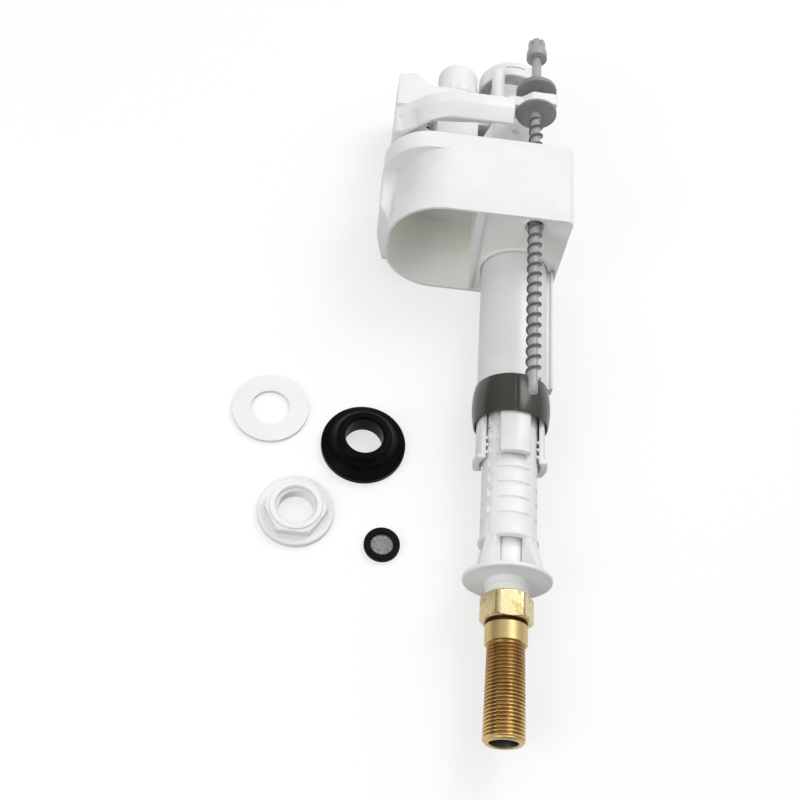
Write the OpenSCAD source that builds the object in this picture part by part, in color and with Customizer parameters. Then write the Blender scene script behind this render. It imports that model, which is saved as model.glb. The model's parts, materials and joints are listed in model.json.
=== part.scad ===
// Bottom inlet fill valve with its loose fittings, lying on its back as it is laid out on a table.
// Each module is drawn with the valve upright, z from the inlet end to the head, the float's screw
// towards -y, and lie() then lays it down: the valve's axis becomes +Y and its front becomes +Z.

/* [Inlet tail] */
// Outside diameter of the half inch pipe thread on the tail
shank_d = 20.955; // [18:0.005:24]
// Length of the threaded shank
shank_len = 49; // [30:0.5:70]
// Diameter of the plain length above the thread
plain_d = 21.5; // [19:0.1:26]
// Length of the plain length above the thread
plain_len = 10; // [6:0.5:20]
// Bore of the tail
tail_bore_d = 14.4; // [11:0.1:15]
// Narrower bore above the threaded shank, which holds the restrictor
seat_bore_d = 13; // [10:0.1:14]
// Height of the undercut below the hexagon
neck_h = 1.2; // [0.6:0.1:3]
// Width of the hexagon across its flats
hex_af = 24.4; // [23.5:0.1:30]
// Height of the hexagon
hex_h = 13.6; // [11:0.1:18]
// Thickness of the disc that limits the flow
restrictor_h = 3; // [2:0.5:6]

/* [Foot and column] */
// Diameter of the nose that plugs into the tail
nose_d = 17.2; // [16:0.1:18]
// Depth of the nose inside the hexagon
nose_len = 11; // [9:0.1:12]
// Diameter of the lower step of the spigot ring
step_low_d = 21.8; // [21.4:0.1:24]
// Diameter of the upper step of the spigot ring
step_high_d = 22.8; // [22:0.1:26]
// Height of each step of the spigot ring
step_h = 3.7; // [2:0.1:6]
// Diameter of the flange that seats on the cistern floor
flange_d = 46; // [44:0.5:46]
// Thickness of the flange's rim
flange_t = 2.4; // [1.6:0.1:4]
// Height of the open cage above the flange
cage_h = 18; // [10:0.5:26]
// Height of the ring that ties the cage to the column
cage_ring_h = 3; // [2:0.1:5]
// Outside diameter of the ring
cage_ring_d = 32; // [31:0.1:34]
// Reach of each strut at the flange, measured from the axis
strut_reach = 20.5; // [18:0.1:21.5]
// Width of each strut
strut_w = 6.5; // [4:0.1:8]
// Outside diameter of the ribbed column
column_d = 29.5; // [28.5:0.1:30]
// Length of the ribbed column above its ring
column_len = 100; // [92:1:110]
// Wall of the column under its ribs
column_wall = 2; // [1.6:0.1:2.4]
// Distance between the grooves of the column
rib_pitch = 8.75; // [6:0.05:12]
// Height of each groove
groove_h = 1.3; // [0.5:0.1:2]
// Depth of each groove
groove_depth = 0.9; // [0.4:0.1:1]
// Width of each long post between the ribbed panels
post_w = 3.6; // [2:0.1:5]
// Width of the channel on each side of a post
channel_w = 1.1; // [0.6:0.1:1.6]

/* [Pipes] */
// Outside diameter of the fixed inlet pipe
pipe_d = 12; // [11:0.1:12.4]
// Wall of the fixed inlet pipe
pipe_wall = 1.6; // [1.5:0.1:1.9]
// Length of the fixed inlet pipe above the flange
pipe_rise = 116; // [108:1:122]
// Outside diameter of the sliding riser pipe
riser_d = 17.2; // [16.6:0.1:18.4]
// Length of the riser pipe below the head
riser_len = 192; // [188:1:198]

/* [Guide tube and lock collar] */
// Height of the finger tips above the column's ring, as set in the photograph
extension = 43; // [43:0.5:48]
// Gap between the column and the guide tube's bore
tube_room = 2.25; // [2.15:0.05:2.4]
// Wall of the guide tube
tube_wall = 2; // [1.5:0.1:2.2]
// Length of the guide tube from finger tips to head
tube_len = 197; // [190:1:220]
// Length of the slots between the clip fingers
finger_slot_len = 33; // [30:0.5:36]
// Width of each clip finger
finger_w = 16; // [14:0.1:18]
// Thickness of each clip finger
finger_t = 2.2; // [1.6:0.1:2.6]
// How far a finger's foot stands out past the finger
finger_foot = 1.5; // [1:0.1:2]
// Height of a finger's foot
finger_foot_h = 2.2; // [1.5:0.1:3]
// Width of the rail that keeps the float from turning
rail_w = 5; // [3:0.1:7]
// How far the rail stands out from the tube
rail_h = 3.6; // [2:0.1:4]
// Gap between the lock collar and the rail's lower end
rail_gap = 2.9; // [2:0.1:12]
// Distance of the rail's upper end from the head
rail_drop = 15; // [13:0.5:20]
// Wall of the lock collar at its middle
collar_wall = 2.2; // [1.8:0.1:2.4]
// Height of the lock collar
collar_h = 23.3; // [18:0.1:25]
// Radius of the collar's bulging side, seen in section
collar_bulge_r = 55; // [45:1:90]
// Height of the collar's lower edge above the finger tips
collar_lift = 23.8; // [23:0.1:26]
// Width of the collar's seam groove
seam_w = 0.8; // [0.4:0.1:1.5]

/* [Float] */
// Reach of the float's rim to the left of the tube's axis
float_left = 77; // [72:0.5:78]
// Reach of the float to the right of the tube's axis
float_right = 24.7; // [24.5:0.1:28]
// Radius of the float's left corners at the rim
float_round = 32; // [24:0.5:35]
// Reach of the float in front of the tube's axis
float_front = 51; // [50:0.1:54]
// Height of the float's cup, without its lid
float_h = 52; // [40:0.5:54]
// Wall of the float's cup
float_wall = 1.8; // [1.2:0.1:2.4]
// Gap between the lid's top and the head
float_drop = 12.35; // [12:0.05:20]
// Thickness of the lid's plate
lid_t = 3; // [2:0.1:4]
// Height of the band that stands out at the cup's upper left
band_h = 12; // [8:0.5:16]
// How far the band stands out at the left end
band_step = 5; // [2:0.1:6]
// Thickness of the divider at the float's front wall
divider_w = 5; // [2:0.1:6]
// How far the closed floor of the right chamber is set up from the rim
floor_inset = 1.4; // [0.8:0.1:4]

/* [Adjusting screw] */
// Place of the screw's axis to the right of the tube's axis
screw_x = 4; // [2:0.1:7]
// Place of the screw's axis in front of the tube's axis
screw_front = 43; // [41.5:0.1:43]
// Core diameter of the screw
screw_core_d = 4.8; // [4:0.1:5.4]
// Outside diameter of the helical ridge
screw_d = 8; // [7:0.1:8.4]
// Rise of the ridge in one turn
screw_lead = 6.7; // [5:0.1:9]
// Length of the screw below the lower disc
screw_len = 193; // [170:1:200]
// Length of the plain tip
screw_tip_len = 9; // [6:0.5:14]
// Diameter of the plain stem above the ridge
stem_d = 5.8; // [5.4:0.1:6.2]
// Diameter of the two discs
disc_d = 24; // [20:0.1:25]
// Thickness of the lower disc
disc_t = 1.7; // [1.2:0.1:2.4]
// Thickness of the upper disc
disc_top_t = 3; // [2:0.1:4]
// Gap between the discs that takes the lever arm
disc_gap = 15; // [12:0.1:17]
// Length of the stem that shows between the upper disc and the knob
stem_len = 26; // [20:0.5:32]
// Diameter of the knob's grip
knob_d = 10.6; // [9:0.1:12]
// Diameter of the knob's skirt
knob_skirt_d = 12.4; // [12:0.1:14]
// Height of the knob
knob_h = 13.4; // [12:0.1:18]
// Height of the knob's skirt
knob_skirt_h = 7; // [4:0.1:7.5]
// Depth of the stem's end inside the knob
knob_socket = 8; // [5:0.1:9]
// Number of flutes on the knob
knob_flutes = 6; // [5:1:8]

/* [Lever arm] */
// Height of the arm's underside above the guide tube
arm_rise = 6.6; // [6:0.1:8]
// Height of the arm's beam
arm_h = 16; // [14:0.1:16.6]
// Thickness of the beam's front plate
arm_plate = 6.5; // [4:0.1:8]
// Width of the beam's top flange
arm_w = 14; // [12:0.1:15]
// Distance of the beam's front face from the tube's axis
arm_front = 49.5; // [49:0.1:51]
// Distance of the arm's outer side from the tube's axis
arm_left = 78.5; // [77.5:0.1:79]
// Height of the pad that the discs hold
pad_h = 8.2; // [6:0.1:9]
// Reach of the pad to the right of the screw
pad_reach = 11.2; // [9:0.1:11.6]
// Distance of the pivot pin from the tube's axis
pivot_x = 70; // [69.5:0.1:70.5]
// Height of the pivot pin above the arm's underside
pivot_rise = 19.4; // [19:0.1:20]
// Diameter of the pivot pin
pin_d = 4; // [3:0.1:5]
// Distance of the pilot nozzle from the tube's axis
pilot_x = 58; // [57.5:0.1:58.5]
// Diameter of the pilot seal
seal_d = 5.2; // [4:0.1:6]
// Thickness of the pilot seal
seal_t = 2.4; // [1.6:0.1:3]

/* [Head] */
// Height of the right tower above the guide tube
tower_h = 63; // [58:0.5:66]
// Width of the right tower
tower_w = 30; // [28:0.1:32]
// Place of the right tower's axis to the left of the tube's axis
tower_x = 4; // [2:0.1:5]
// Distance of the towers' front faces from the tube's axis
tower_front = 20; // [19:0.1:21]
// Distance of the left tower's axis from the tube's axis
chamber_x = 39.5; // [39:0.1:40]
// Diameter of the left tower
chamber_d = 27; // [26:0.1:27.5]
// Height of the left tower above the guide tube
chamber_h = 55; // [52:0.5:57]
// Height of the left tower's lower end above the guide tube
chamber_base = 4; // [2:0.5:8]
// Diameter of the water space in the left tower
chamber_bore = 20; // [18:0.1:21]
// Diameter of the nozzle under the diaphragm
nozzle_d = 12; // [10:0.1:13]
// Bore of the outlet through the nozzle
outlet_d = 8.4; // [6:0.1:9]
// Diameter of the cap's grip ring
cap_d = 27.2; // [26:0.1:28]
// Height of the cap
cap_h = 24; // [20:0.5:26]
// Drop in diameter at each step of the cap
cap_step = 1.2; // [1:0.1:2]
// Thickness of the diaphragm's rim
rim_t = 2; // [1.5:0.1:2.5]
// How far the bracket for the arm stands above the left tower
bracket_over = 7; // [5:0.5:10]
// Diameter of the vent hood
hood_d = 40; // [34:0.1:41]
// Height of the hood's skirt
hood_h = 12; // [9:0.1:14]
// Gap between the right tower and the hood's skirt
hood_gap = 9; // [6:0.1:12]
// Wall of the hood
hood_wall = 1.6; // [1.2:0.1:2.4]
// Diameter of the hood's stem
hood_stem_d = 12; // [8:0.5:16]
// Width of the round-topped peg beside the hood
peg_w = 7.8; // [5:0.1:8]
// Height of the peg above the right tower
peg_rise = 8; // [4:0.1:8.4]

/* [Loose fittings] */
// Outside diameter of the flat washer
washer_d = 42.5; // [38:0.5:50]
// Hole of the flat washer
washer_hole_d = 21.2; // [21:0.1:24]
// Thickness of the flat washer
washer_t = 2.4; // [1.5:0.1:4]
// Outside diameter of the rubber gasket
gasket_d = 46.4; // [42:0.1:50]
// Diameter of the gasket's raised top
gasket_top_d = 35; // [32:0.1:38]
// Hole of the gasket
gasket_hole_d = 20.6; // [20:0.1:22]
// Height of the gasket
gasket_h = 13; // [9:0.1:16]
// Height of the gasket's outer rim
gasket_rim_h = 4; // [3:0.1:6]
// Outside diameter of the back nut's flange
nut_flange_d = 41; // [40:0.1:48]
// Thickness of the back nut's flange
nut_flange_t = 3.6; // [2:0.1:4]
// Width of the back nut across its flats
nut_af = 30; // [27:0.1:34]
// Height of the back nut
nut_h = 10; // [8:0.1:14]
// Bore of the back nut at the crests of its thread
nut_bore_d = 18.8; // [18.6:0.1:19.4]
// Diameter of the round collar that leads into the nut's thread
nut_lead_d = 21.4; // [21.2:0.1:23]
// Outside diameter of the filter washer
filter_d = 19.2; // [17:0.1:20]
// Thickness of the filter washer's rubber ring
filter_t = 3; // [2:0.1:4]
// Diameter of the gauze that shows
gauze_d = 12; // [10:0.1:14]

/* [Hidden] */

$fn = 64;
// Hair that keeps a cut clear of the face that it opens
eps = 0.02;
// Gap between pieces that are pushed or screwed together
seat_gap = 0.05;
// Gap round a piece that turns in a bore
turn_gap = 0.15;
// Gap round a piece that slides or swings
slide_gap = 0.3;

white = "#eeeeee";
dull_white = "#e2e2df";
brass = "#c8a45a";
grey = "#8f9092";
olive = "#3f4038";
rubber = "#161616";
steel = "#9c9ea0";

// Heights up the valve, each from the one below it
neck_z = shank_len + plain_len;
hex_z = neck_z + neck_h;
hex_top_z = hex_z + hex_h;
step_gap = 0.8;
step_z = hex_top_z + step_gap;
flange_z = step_z + 2 * step_h;
cage_z = flange_z + flange_t;
ring_z = cage_z + cage_h;
column_z = ring_z + cage_ring_h;
column_top_z = column_z + column_len;
tip_z = column_z + extension;
tube_top_z = tip_z + tube_len;
collar_z = tip_z + collar_lift;
lid_z = tube_top_z - float_drop - lid_t - seat_gap;
float_z = lid_z - float_h;
arm_z = tube_top_z + arm_rise;
arm_top_z = arm_z + arm_h;

// Tail and nose
nose_bottom_z = hex_top_z - nose_len;
socket_z = nose_bottom_z - 1.9;
o_ring_t = 1.7;

// Column
column_bore = column_d - 2 * (column_wall + groove_depth);
column_core_d = column_d - 2 * groove_depth - 0.4;
groove_count = floor((column_len - 3) / rib_pitch);

// Pipes
pipe_top_z = cage_z + pipe_rise;
pipe_groove_z = pipe_top_z - 6;
pipe_groove_h = 2;
pipe_bore = pipe_d - 2 * pipe_wall;
riser_bore = pipe_d + 1.2;
riser_z = tube_top_z - riser_len;
riser_in_body = 6;

// Guide tube and its fingers
tube_d = column_d + 2 * (tube_room + tube_wall);
tube_bore = tube_d - 2 * tube_wall;
finger_d = tube_d - 1;
finger_bore = finger_d - 2 * finger_t;
tooth_bore = column_d + 2 * slide_gap;
rail_z = collar_z + collar_h + rail_gap;
rail_len = tube_top_z - rail_drop - rail_z;
plug_len = 12;
collar_bore = tube_d + 2 * 0.2;
collar_d = collar_bore + 2 * collar_wall;

// Float: a box with large round corners at the left and small ones at the right
float_back = flange_d / 2;
float_corner = 4;
float_top_z = lid_z + seat_gap + lid_t;
band_z = float_top_z - band_h;
strip_front = 26;
strip_z = float_z + 6;
strip_slope = 13;
sleeve_bore = tube_d + 2 * 0.4;
sleeve_d = sleeve_bore + 2 * float_wall;
divider_x = -sleeve_d / 2 - 2.6;
divider_lean = 2.4;
boss_d = screw_d + 4.6;
boss_bore = screw_d + 2 * 0.35;
boss_mouth_d = boss_bore + 2.2;
boss_mouth_h = 2;

// Screw, discs and knob
disc_z = arm_z + 12.3;
disc_low_z = disc_z - disc_t;
disc_high_z = disc_z + disc_gap;
disc_high_top_z = disc_high_z + disc_top_t;
screw_z = disc_low_z - screw_len;
knob_z = disc_high_top_z + stem_len;
stem_top_z = knob_z + knob_socket;
ridge_z = screw_z + screw_tip_len;
ridge_top_z = disc_low_z - 4;
ridge_base_h = 2;
ridge_edge_h = 0.75;
ridge_steps = 16;

// Lever arm
arm_end_x = screw_x - disc_d / 2 - 1.5;
neck_len = 6;
side_bar_w = 20;
flange_h = 3;
under_cut = 4.5;
under_cut_h = 8;
pad_z = disc_z + 1.2;
slot_d = stem_d + 2;
slot_travel = 2;
pivot_z = arm_z + pivot_rise;
hinge_y = -4;
lug_w = 8;
cheek_w = 7;
cheek_r = 6;
pin_len = lug_w + 2 * (cheek_w + slide_gap) + 1;
seal_z = pivot_z + 4;
nozzle_gap = 0.7;
nozzle_z = seal_z + seal_t + nozzle_gap;

// Head
chamber_cy = chamber_d / 2 + 1 - tower_front;
chamber_z = tube_top_z + chamber_base;
chamber_top_z = tube_top_z + chamber_h;
tower_top_z = tube_top_z + tower_h;
tower_back = 14;
ledge_z = chamber_top_z - 4;
ledge_d = chamber_bore + 2.6;
duct_d = 9;
duct_z = ledge_z - duct_d - 2;
water_floor_z = duct_z - 6;
bracket_z = nozzle_z + 2;
bracket_top_z = chamber_top_z + bracket_over;
bracket_left = 77.4;
hood_cy = hood_d / 2 - tower_front;
hood_x = 5;
hood_slot_w = 12;
peg_x = -16;
peg_front = 2.5;
gusset_w = 9;
sight_d = 4;
sight_rise = 24;
metering_d = 2.7;
metering_len = 12;
metering_cap_d = 7;
metering_cap_t = 1.4;

// Loose fittings lie on the table, which is level with the flange's rim
table_y = flange_d / 2;
washer_x = -131;
washer_z = 181.7;
gasket_x = -78;
gasket_z = 164.5;
nut_x = -110.5;
nut_z = 120.3;
filter_x = -63.5;
filter_z = 106;

// Turns the upright valve onto its back
module lie() {
    rotate([-90, 0, 0]) children();
}

// Stands a loose fitting on the table at x and height z up the valve
module on_table(x, z) {
    translate([x, table_y, z]) rotate([90, 0, 0]) children();
}

module tube(d, bore, h) {
    difference() {
        cylinder(d = d, h = h);
        translate([0, 0, -eps]) cylinder(d = bore, h = h + 2 * eps);
    }
}

// A bar with its long axis up, whose plan is a round slot
module slot_bar(d, travel, h) {
    for (side = [-1, 1]) translate([side * travel / 2, 0, 0]) cylinder(d = d, h = h);
    translate([-travel / 2, -d / 2, 0]) cube([travel, d, h]);
}

// A nut with bevelled corners
module hexagon(af, h, bevel) {
    corner_r = af / cos(30) / 2;
    intersection() {
        cylinder(r = corner_r, h = h, $fn = 6);
        rotate_extrude() polygon([
            [0, 0], [corner_r - bevel, 0], [corner_r, bevel * 0.6],
            [corner_r, h - bevel * 0.6], [corner_r - bevel, h], [0, h]
        ]);
    }
}

module o_ring(mid_d, t) {
    rotate_extrude() translate([mid_d / 2, 0]) circle(d = t, $fn = 32);
}

module brass_tail() color(brass) lie() {
    lead = 1.4;
    difference() {
        union() {
            rotate_extrude() polygon([
                [0, 0], [shank_d / 2 - lead, 0], [shank_d / 2, lead], [shank_d / 2, shank_len],
                [plain_d / 2, shank_len + 0.6], [plain_d / 2, neck_z - 0.6], [plain_d / 2 - 0.6, neck_z],
                [plain_d / 2 - 1.4, neck_z], [plain_d / 2 - 1.4, hex_z + 1], [0, hex_z + 1]
            ]);
            translate([0, 0, hex_z]) hexagon(hex_af, hex_h, 1.2);
        }
        translate([0, 0, -eps]) cylinder(d = tail_bore_d, h = shank_len + eps);
        translate([0, 0, -eps]) cylinder(d = seat_bore_d, h = hex_top_z);
        translate([0, 0, socket_z]) cylinder(d = nose_d + 2 * seat_gap, h = hex_top_z);
    }
}

module tail_o_ring() color(rubber) lie() {
    translate([0, 0, socket_z + o_ring_t / 2 + seat_gap])
        o_ring(nose_d - o_ring_t - 2 * seat_gap, o_ring_t);
}

module flow_restrictor() color(dull_white) lie() {
    holes = 6;
    translate([0, 0, shank_len + 1]) difference() {
        cylinder(d = seat_bore_d - 2 * seat_gap, h = restrictor_h);
        translate([0, 0, -eps]) cylinder(d = 2.6, h = restrictor_h + 2 * eps);
        for (i = [0 : holes - 1]) rotate([0, 0, i * 360 / holes])
            translate([seat_bore_d / 3.2, 0, -eps]) cylinder(d = 1.8, h = restrictor_h + 2 * eps);
    }
}

// One quarter of the column's dress: a post and the channels that part it from the ribbed panels
module post_channels(z, h) {
    mid = column_d / 2;
    for (i = [0 : 3]) rotate([0, 0, 45 + 90 * i]) for (side = [-1, 1])
        translate([column_core_d / 2 - 0.2, side * (post_w + channel_w) / 2 - channel_w / 2, z])
            cube([mid, channel_w, h]);
}

module column_grooves() {
    for (i = [1 : groove_count]) translate([0, 0, column_z + i * rib_pitch])
        tube(column_d + 2, column_d - 2 * groove_depth, groove_h);
}

// Four posts that bridge the grooves and stop short of the column's chamfered end
module posts() {
    h = column_len - 1;
    for (i = [0 : 3]) rotate([0, 0, 45 + 90 * i]) intersection() {
        translate([column_bore / 2 + 0.5, -post_w / 2, column_z - 1]) cube([column_d, post_w, h]);
        translate([0, 0, column_z - 1]) cylinder(d = column_d - 0.5, h = h);
    }
}

// A strut of the cage, which flares from the ring out to the flange
module strut() {
    rotate([90, 0, 0]) translate([0, 0, -strut_w / 2]) linear_extrude(strut_w) polygon([
        [column_bore / 2 - 1, cage_z - 0.4], [strut_reach, cage_z - 0.4],
        [cage_ring_d / 2 - 0.6, ring_z + 0.4], [column_bore / 2 - 1, ring_z + 0.4]
    ]);
}

module foot_column() color(white) lie() {
    hub_h = 6;
    difference() {
        union() {
            translate([0, 0, nose_bottom_z]) cylinder(d = nose_d, h = step_z - nose_bottom_z + 1);
            translate([0, 0, step_z]) cylinder(d = step_low_d, h = step_h + 1);
            translate([0, 0, step_z + step_h]) cylinder(d = step_high_d, h = step_h + 1);
            rotate_extrude() polygon([
                [0, flange_z - 0.01], [step_high_d / 2, flange_z], [flange_d / 2 - 0.5, flange_z],
                [flange_d / 2, flange_z + 0.5], [flange_d / 2, cage_z - 0.5],
                [flange_d / 2 - 0.5, cage_z], [0, cage_z]
            ]);
            translate([0, 0, cage_z - 1]) cylinder(d = pipe_d + 4, h = hub_h + 1);
            for (i = [0 : 3]) rotate([0, 0, 45 + 90 * i]) strut();
            difference() {
                rotate_extrude() polygon([
                    [column_bore / 2, ring_z], [cage_ring_d / 2 - 0.6, ring_z],
                    [cage_ring_d / 2, ring_z + 0.6], [cage_ring_d / 2 - 0.4, column_z - 0.8],
                    [column_d / 2 - 0.3, column_z], [column_d / 2, column_z],
                    [column_d / 2, column_top_z - 1.2], [column_d / 2 - 1.2, column_top_z],
                    [column_bore / 2, column_top_z]
                ]);
                column_grooves();
                post_channels(column_z, column_len + 1);
            }
            posts();
        }
        translate([0, 0, nose_bottom_z - eps]) cylinder(d = pipe_d + 2 * seat_gap, h = cage_z + hub_h);
    }
}

module inlet_pipe() color(white) lie() {
    low_z = nose_bottom_z + 0.5;
    difference() {
        translate([0, 0, low_z]) tube(pipe_d, pipe_bore, pipe_top_z - low_z);
        translate([0, 0, pipe_groove_z]) tube(pipe_d + 2, pipe_d - 1.9, pipe_groove_h);
    }
}

module pipe_o_ring() color(rubber) lie() {
    translate([0, 0, pipe_groove_z + pipe_groove_h / 2]) o_ring(pipe_d - 0.6, 1.2);
}

module riser_pipe() color(white) lie() {
    translate([0, 0, riser_z]) tube(riser_d, riser_bore, riser_len + riser_in_body);
}

module finger() {
    intersection() {
        union() {
            translate([0, 0, tip_z]) tube(finger_d, finger_bore, finger_slot_len + 1);
            translate([0, 0, tip_z]) tube(finger_d + 2 * finger_foot, finger_bore, finger_foot_h);
            for (i = [0 : 2]) translate([0, 0, tip_z + 3 + i * rib_pitch / 2])
                tube(finger_bore + 0.4, tooth_bore, 1.6);
        }
        translate([-finger_w / 2, -tube_d, tip_z - 1]) cube([finger_w, tube_d, finger_slot_len + 3]);
    }
}

module guide_tube() color(dull_white) lie() {
    full_z = tip_z + finger_slot_len;
    rail_lip = 1.4;
    translate([0, 0, full_z]) tube(tube_d, tube_bore, tube_top_z - full_z);
    translate([0, 0, full_z]) tube(tube_d, finger_bore, 2);
    for (i = [0 : 3]) rotate([0, 0, 90 * i]) finger();
    translate([tube_d / 2 - tube_wall / 2, -rail_w / 2, rail_z])
        cube([rail_h + tube_wall / 2, rail_w, rail_len]);
    translate([tube_d / 2 + rail_h - rail_lip, -rail_w / 2 - 1, rail_z])
        cube([rail_lip, rail_w + 2, rail_len]);
}

module lock_collar() color(olive) lie() {
    seam_turn = -82;
    translate([0, 0, collar_z]) difference() {
        rotate_extrude() difference() {
            intersection() {
                translate([collar_d / 2 - collar_bulge_r, collar_h / 2])
                    circle(r = collar_bulge_r, $fn = 128);
                square([collar_d, collar_h]);
            }
            translate([-1, -1]) square([collar_bore / 2 + 1, collar_h + 2]);
        }
        rotate([0, 0, seam_turn]) translate([collar_d / 2 - 1.4, -seam_w / 2, -1])
            cube([collar_d, seam_w, collar_h + 2]);
    }
}

// Plan of the float, drawn in by inset, with its left end moved out by step
module float_plan(inset, step) {
    r = float_round - inset - step;
    left = inset - float_left - step;
    right = float_right - inset;
    front = inset - float_front;
    back = float_back - inset;
    c = float_corner - inset / 2;
    for (y = [front + r, back - r]) translate([left + r, y]) circle(r = r, $fn = 128);
    for (y = [front + c, back - c]) translate([right - c, y]) circle(r = c);
    translate([left + r, front]) square([right - c - left - r, back - front]);
    translate([left, front + r]) square([r + 1, back - front - 2 * r]);
    translate([right - c - 1, front + c]) square([c + 1, back - front - 2 * c]);
}

// Half of the float's plan, to the left of a line from x = front at the front wall to x = back
module left_of(front, back) {
    far = 2 * float_left;
    polygon([
        [-far, -far], [front, -far], [front, -float_front],
        [back, float_back], [back, far], [-far, far]
    ]);
}

// The sleeve round the guide tube, tied to the float's back wall
module sleeve_plan() {
    web_w = 16;
    circle(d = sleeve_d);
    translate([-web_w / 2, 0]) square([web_w, float_back]);
}

// The boss round the screw, tied to the float's front wall
module boss_plan() {
    web_w = 9;
    translate([screw_x, -screw_front]) circle(d = boss_d);
    translate([screw_x - web_w / 2, -float_front]) square([web_w, float_front - screw_front]);
}

module rail_slot(z, h) {
    gap = 0.5;
    translate([0, -rail_w / 2 - 1 - gap, z]) cube([tube_d / 2 + rail_h + gap, rail_w + 2 + 2 * gap, h]);
}

// Plan of the right chamber, round the sleeve and the boss
module right_plan() {
    difference() {
        float_plan(float_wall, 0);
        left_of(divider_x - divider_lean + float_wall, divider_x + float_wall);
        sleeve_plan();
        boss_plan();
    }
}

// The strip at the float's left end, before it is cut to the band's plan
module strip() {
    translate([0, float_back + 5, 0]) rotate([90, 0, 0]) linear_extrude(float_back + 5 + strip_front)
        polygon([
            [-float_left + 8, strip_z], [-float_left + 0.5, strip_z],
            [-float_left - band_step - 1, strip_z + strip_slope], [-float_left - band_step - 1, float_top_z],
            [-float_left + 8, float_top_z]
        ]);
}

module float_cup() color(white) lie() {
    roof = 2;
    difference() {
        union() {
            translate([0, 0, float_z]) linear_extrude(float_top_z - float_z) float_plan(0, 0);
            translate([0, 0, band_z]) linear_extrude(band_h) float_plan(0, band_step);
            // The rear half of the left end stands out below the band and slopes in to the rim
            intersection() {
                translate([0, 0, float_z]) linear_extrude(float_top_z - float_z - 1)
                    float_plan(0, band_step);
                strip();
            }
        }
        // The lid lies inside the cup's wall
        translate([0, 0, lid_z]) linear_extrude(lid_t + 2) float_plan(float_wall, 0);
        // The left chamber is open downwards and holds the air
        translate([0, 0, float_z - 1]) linear_extrude(float_h - roof + 1) intersection() {
            float_plan(float_wall, 0);
            left_of(divider_x - divider_lean - divider_w + float_wall, divider_x);
        }
        // The right chamber is closed below and open to the lid
        translate([0, 0, float_z + floor_inset + float_wall]) linear_extrude(float_h) right_plan();
        // Its floor is set up a little from the rim
        translate([0, 0, float_z - 1]) linear_extrude(floor_inset + 1) right_plan();
        translate([0, 0, float_z - 1]) cylinder(d = sleeve_bore, h = float_h + 2);
        translate([screw_x, -screw_front, float_z - 1]) cylinder(d = boss_bore, h = float_h + 2);
        translate([screw_x, -screw_front, float_z - 1]) cylinder(d = boss_mouth_d, h = boss_mouth_h + 1);
        rail_slot(float_z - 1, float_h + 2);
    }
}

module float_lid() color(white) lie() {
    difference() {
        translate([0, 0, lid_z + seat_gap]) linear_extrude(lid_t - 0.3)
            float_plan(float_wall + seat_gap, 0);
        translate([0, 0, lid_z - 1]) cylinder(d = sleeve_bore, h = lid_t + 3);
        translate([screw_x, -screw_front, lid_z - 1]) cylinder(d = boss_bore + 1, h = lid_t + 3);
        translate([0, -rail_w / 2 - 1.5, lid_z - 1]) cube([2 * float_right, rail_w + 3, lid_t + 3]);
    }
}

// A ridge wound round the core: the section is a trapezoid carried up the helix
module helical_ridge() {
    turns = (ridge_top_z - ridge_z) / screw_lead;
    last = floor(turns * ridge_steps);
    root_r = screw_core_d / 2 - 0.25;
    edge_r = screw_d / 2;
    section = [
        [root_r, -ridge_base_h / 2], [edge_r, -ridge_edge_h / 2],
        [edge_r, ridge_edge_h / 2], [root_r, ridge_base_h / 2]
    ];
    points = [
        for (i = [0 : last], p = section)
            let (a = i * 360 / ridge_steps, z = ridge_z + i * screw_lead / ridge_steps)
                [p[0] * cos(a), p[0] * sin(a), z + p[1]]
    ];
    sides = [
        for (i = [0 : last - 1], k = [0 : 3])
            [4 * i + k, 4 * i + (k + 1) % 4, 4 * i + 4 + (k + 1) % 4, 4 * i + 4 + k]
    ];
    ends = [[3, 2, 1, 0], [4 * last, 4 * last + 1, 4 * last + 2, 4 * last + 3]];
    polyhedron(points = points, faces = concat(sides, ends), convexity = 10);
}

module adjusting_screw() color(grey) lie() translate([screw_x, -screw_front, 0]) {
    rotate_extrude() polygon([
        [0, screw_z], [screw_core_d / 2 - 0.5, screw_z], [screw_core_d / 2, screw_z + 0.5],
        [screw_core_d / 2, ridge_top_z], [stem_d / 2, ridge_top_z + 1],
        [stem_d / 2, stem_top_z], [0, stem_top_z]
    ]);
    helical_ridge();
}

module disc(d, t, hub_h) {
    difference() {
        union() {
            rotate_extrude() polygon([
                [0, 0], [d / 2 - 0.4, 0], [d / 2, 0.4], [d / 2, t - 0.4], [d / 2 - 0.4, t], [0, t]
            ]);
            translate([0, 0, t - 0.5]) cylinder(d = stem_d + 2.4, h = hub_h + 0.5);
        }
        translate([0, 0, -1]) cylinder(d = stem_d + 2 * seat_gap, h = t + hub_h + 2);
    }
}

module lower_disc() color(grey) lie() {
    translate([screw_x, -screw_front, disc_low_z]) disc(disc_d, disc_t, 0);
}

module upper_disc() color(grey) lie() {
    translate([screw_x, -screw_front, disc_high_z]) disc(disc_d, disc_top_t, 1.5);
}

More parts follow.
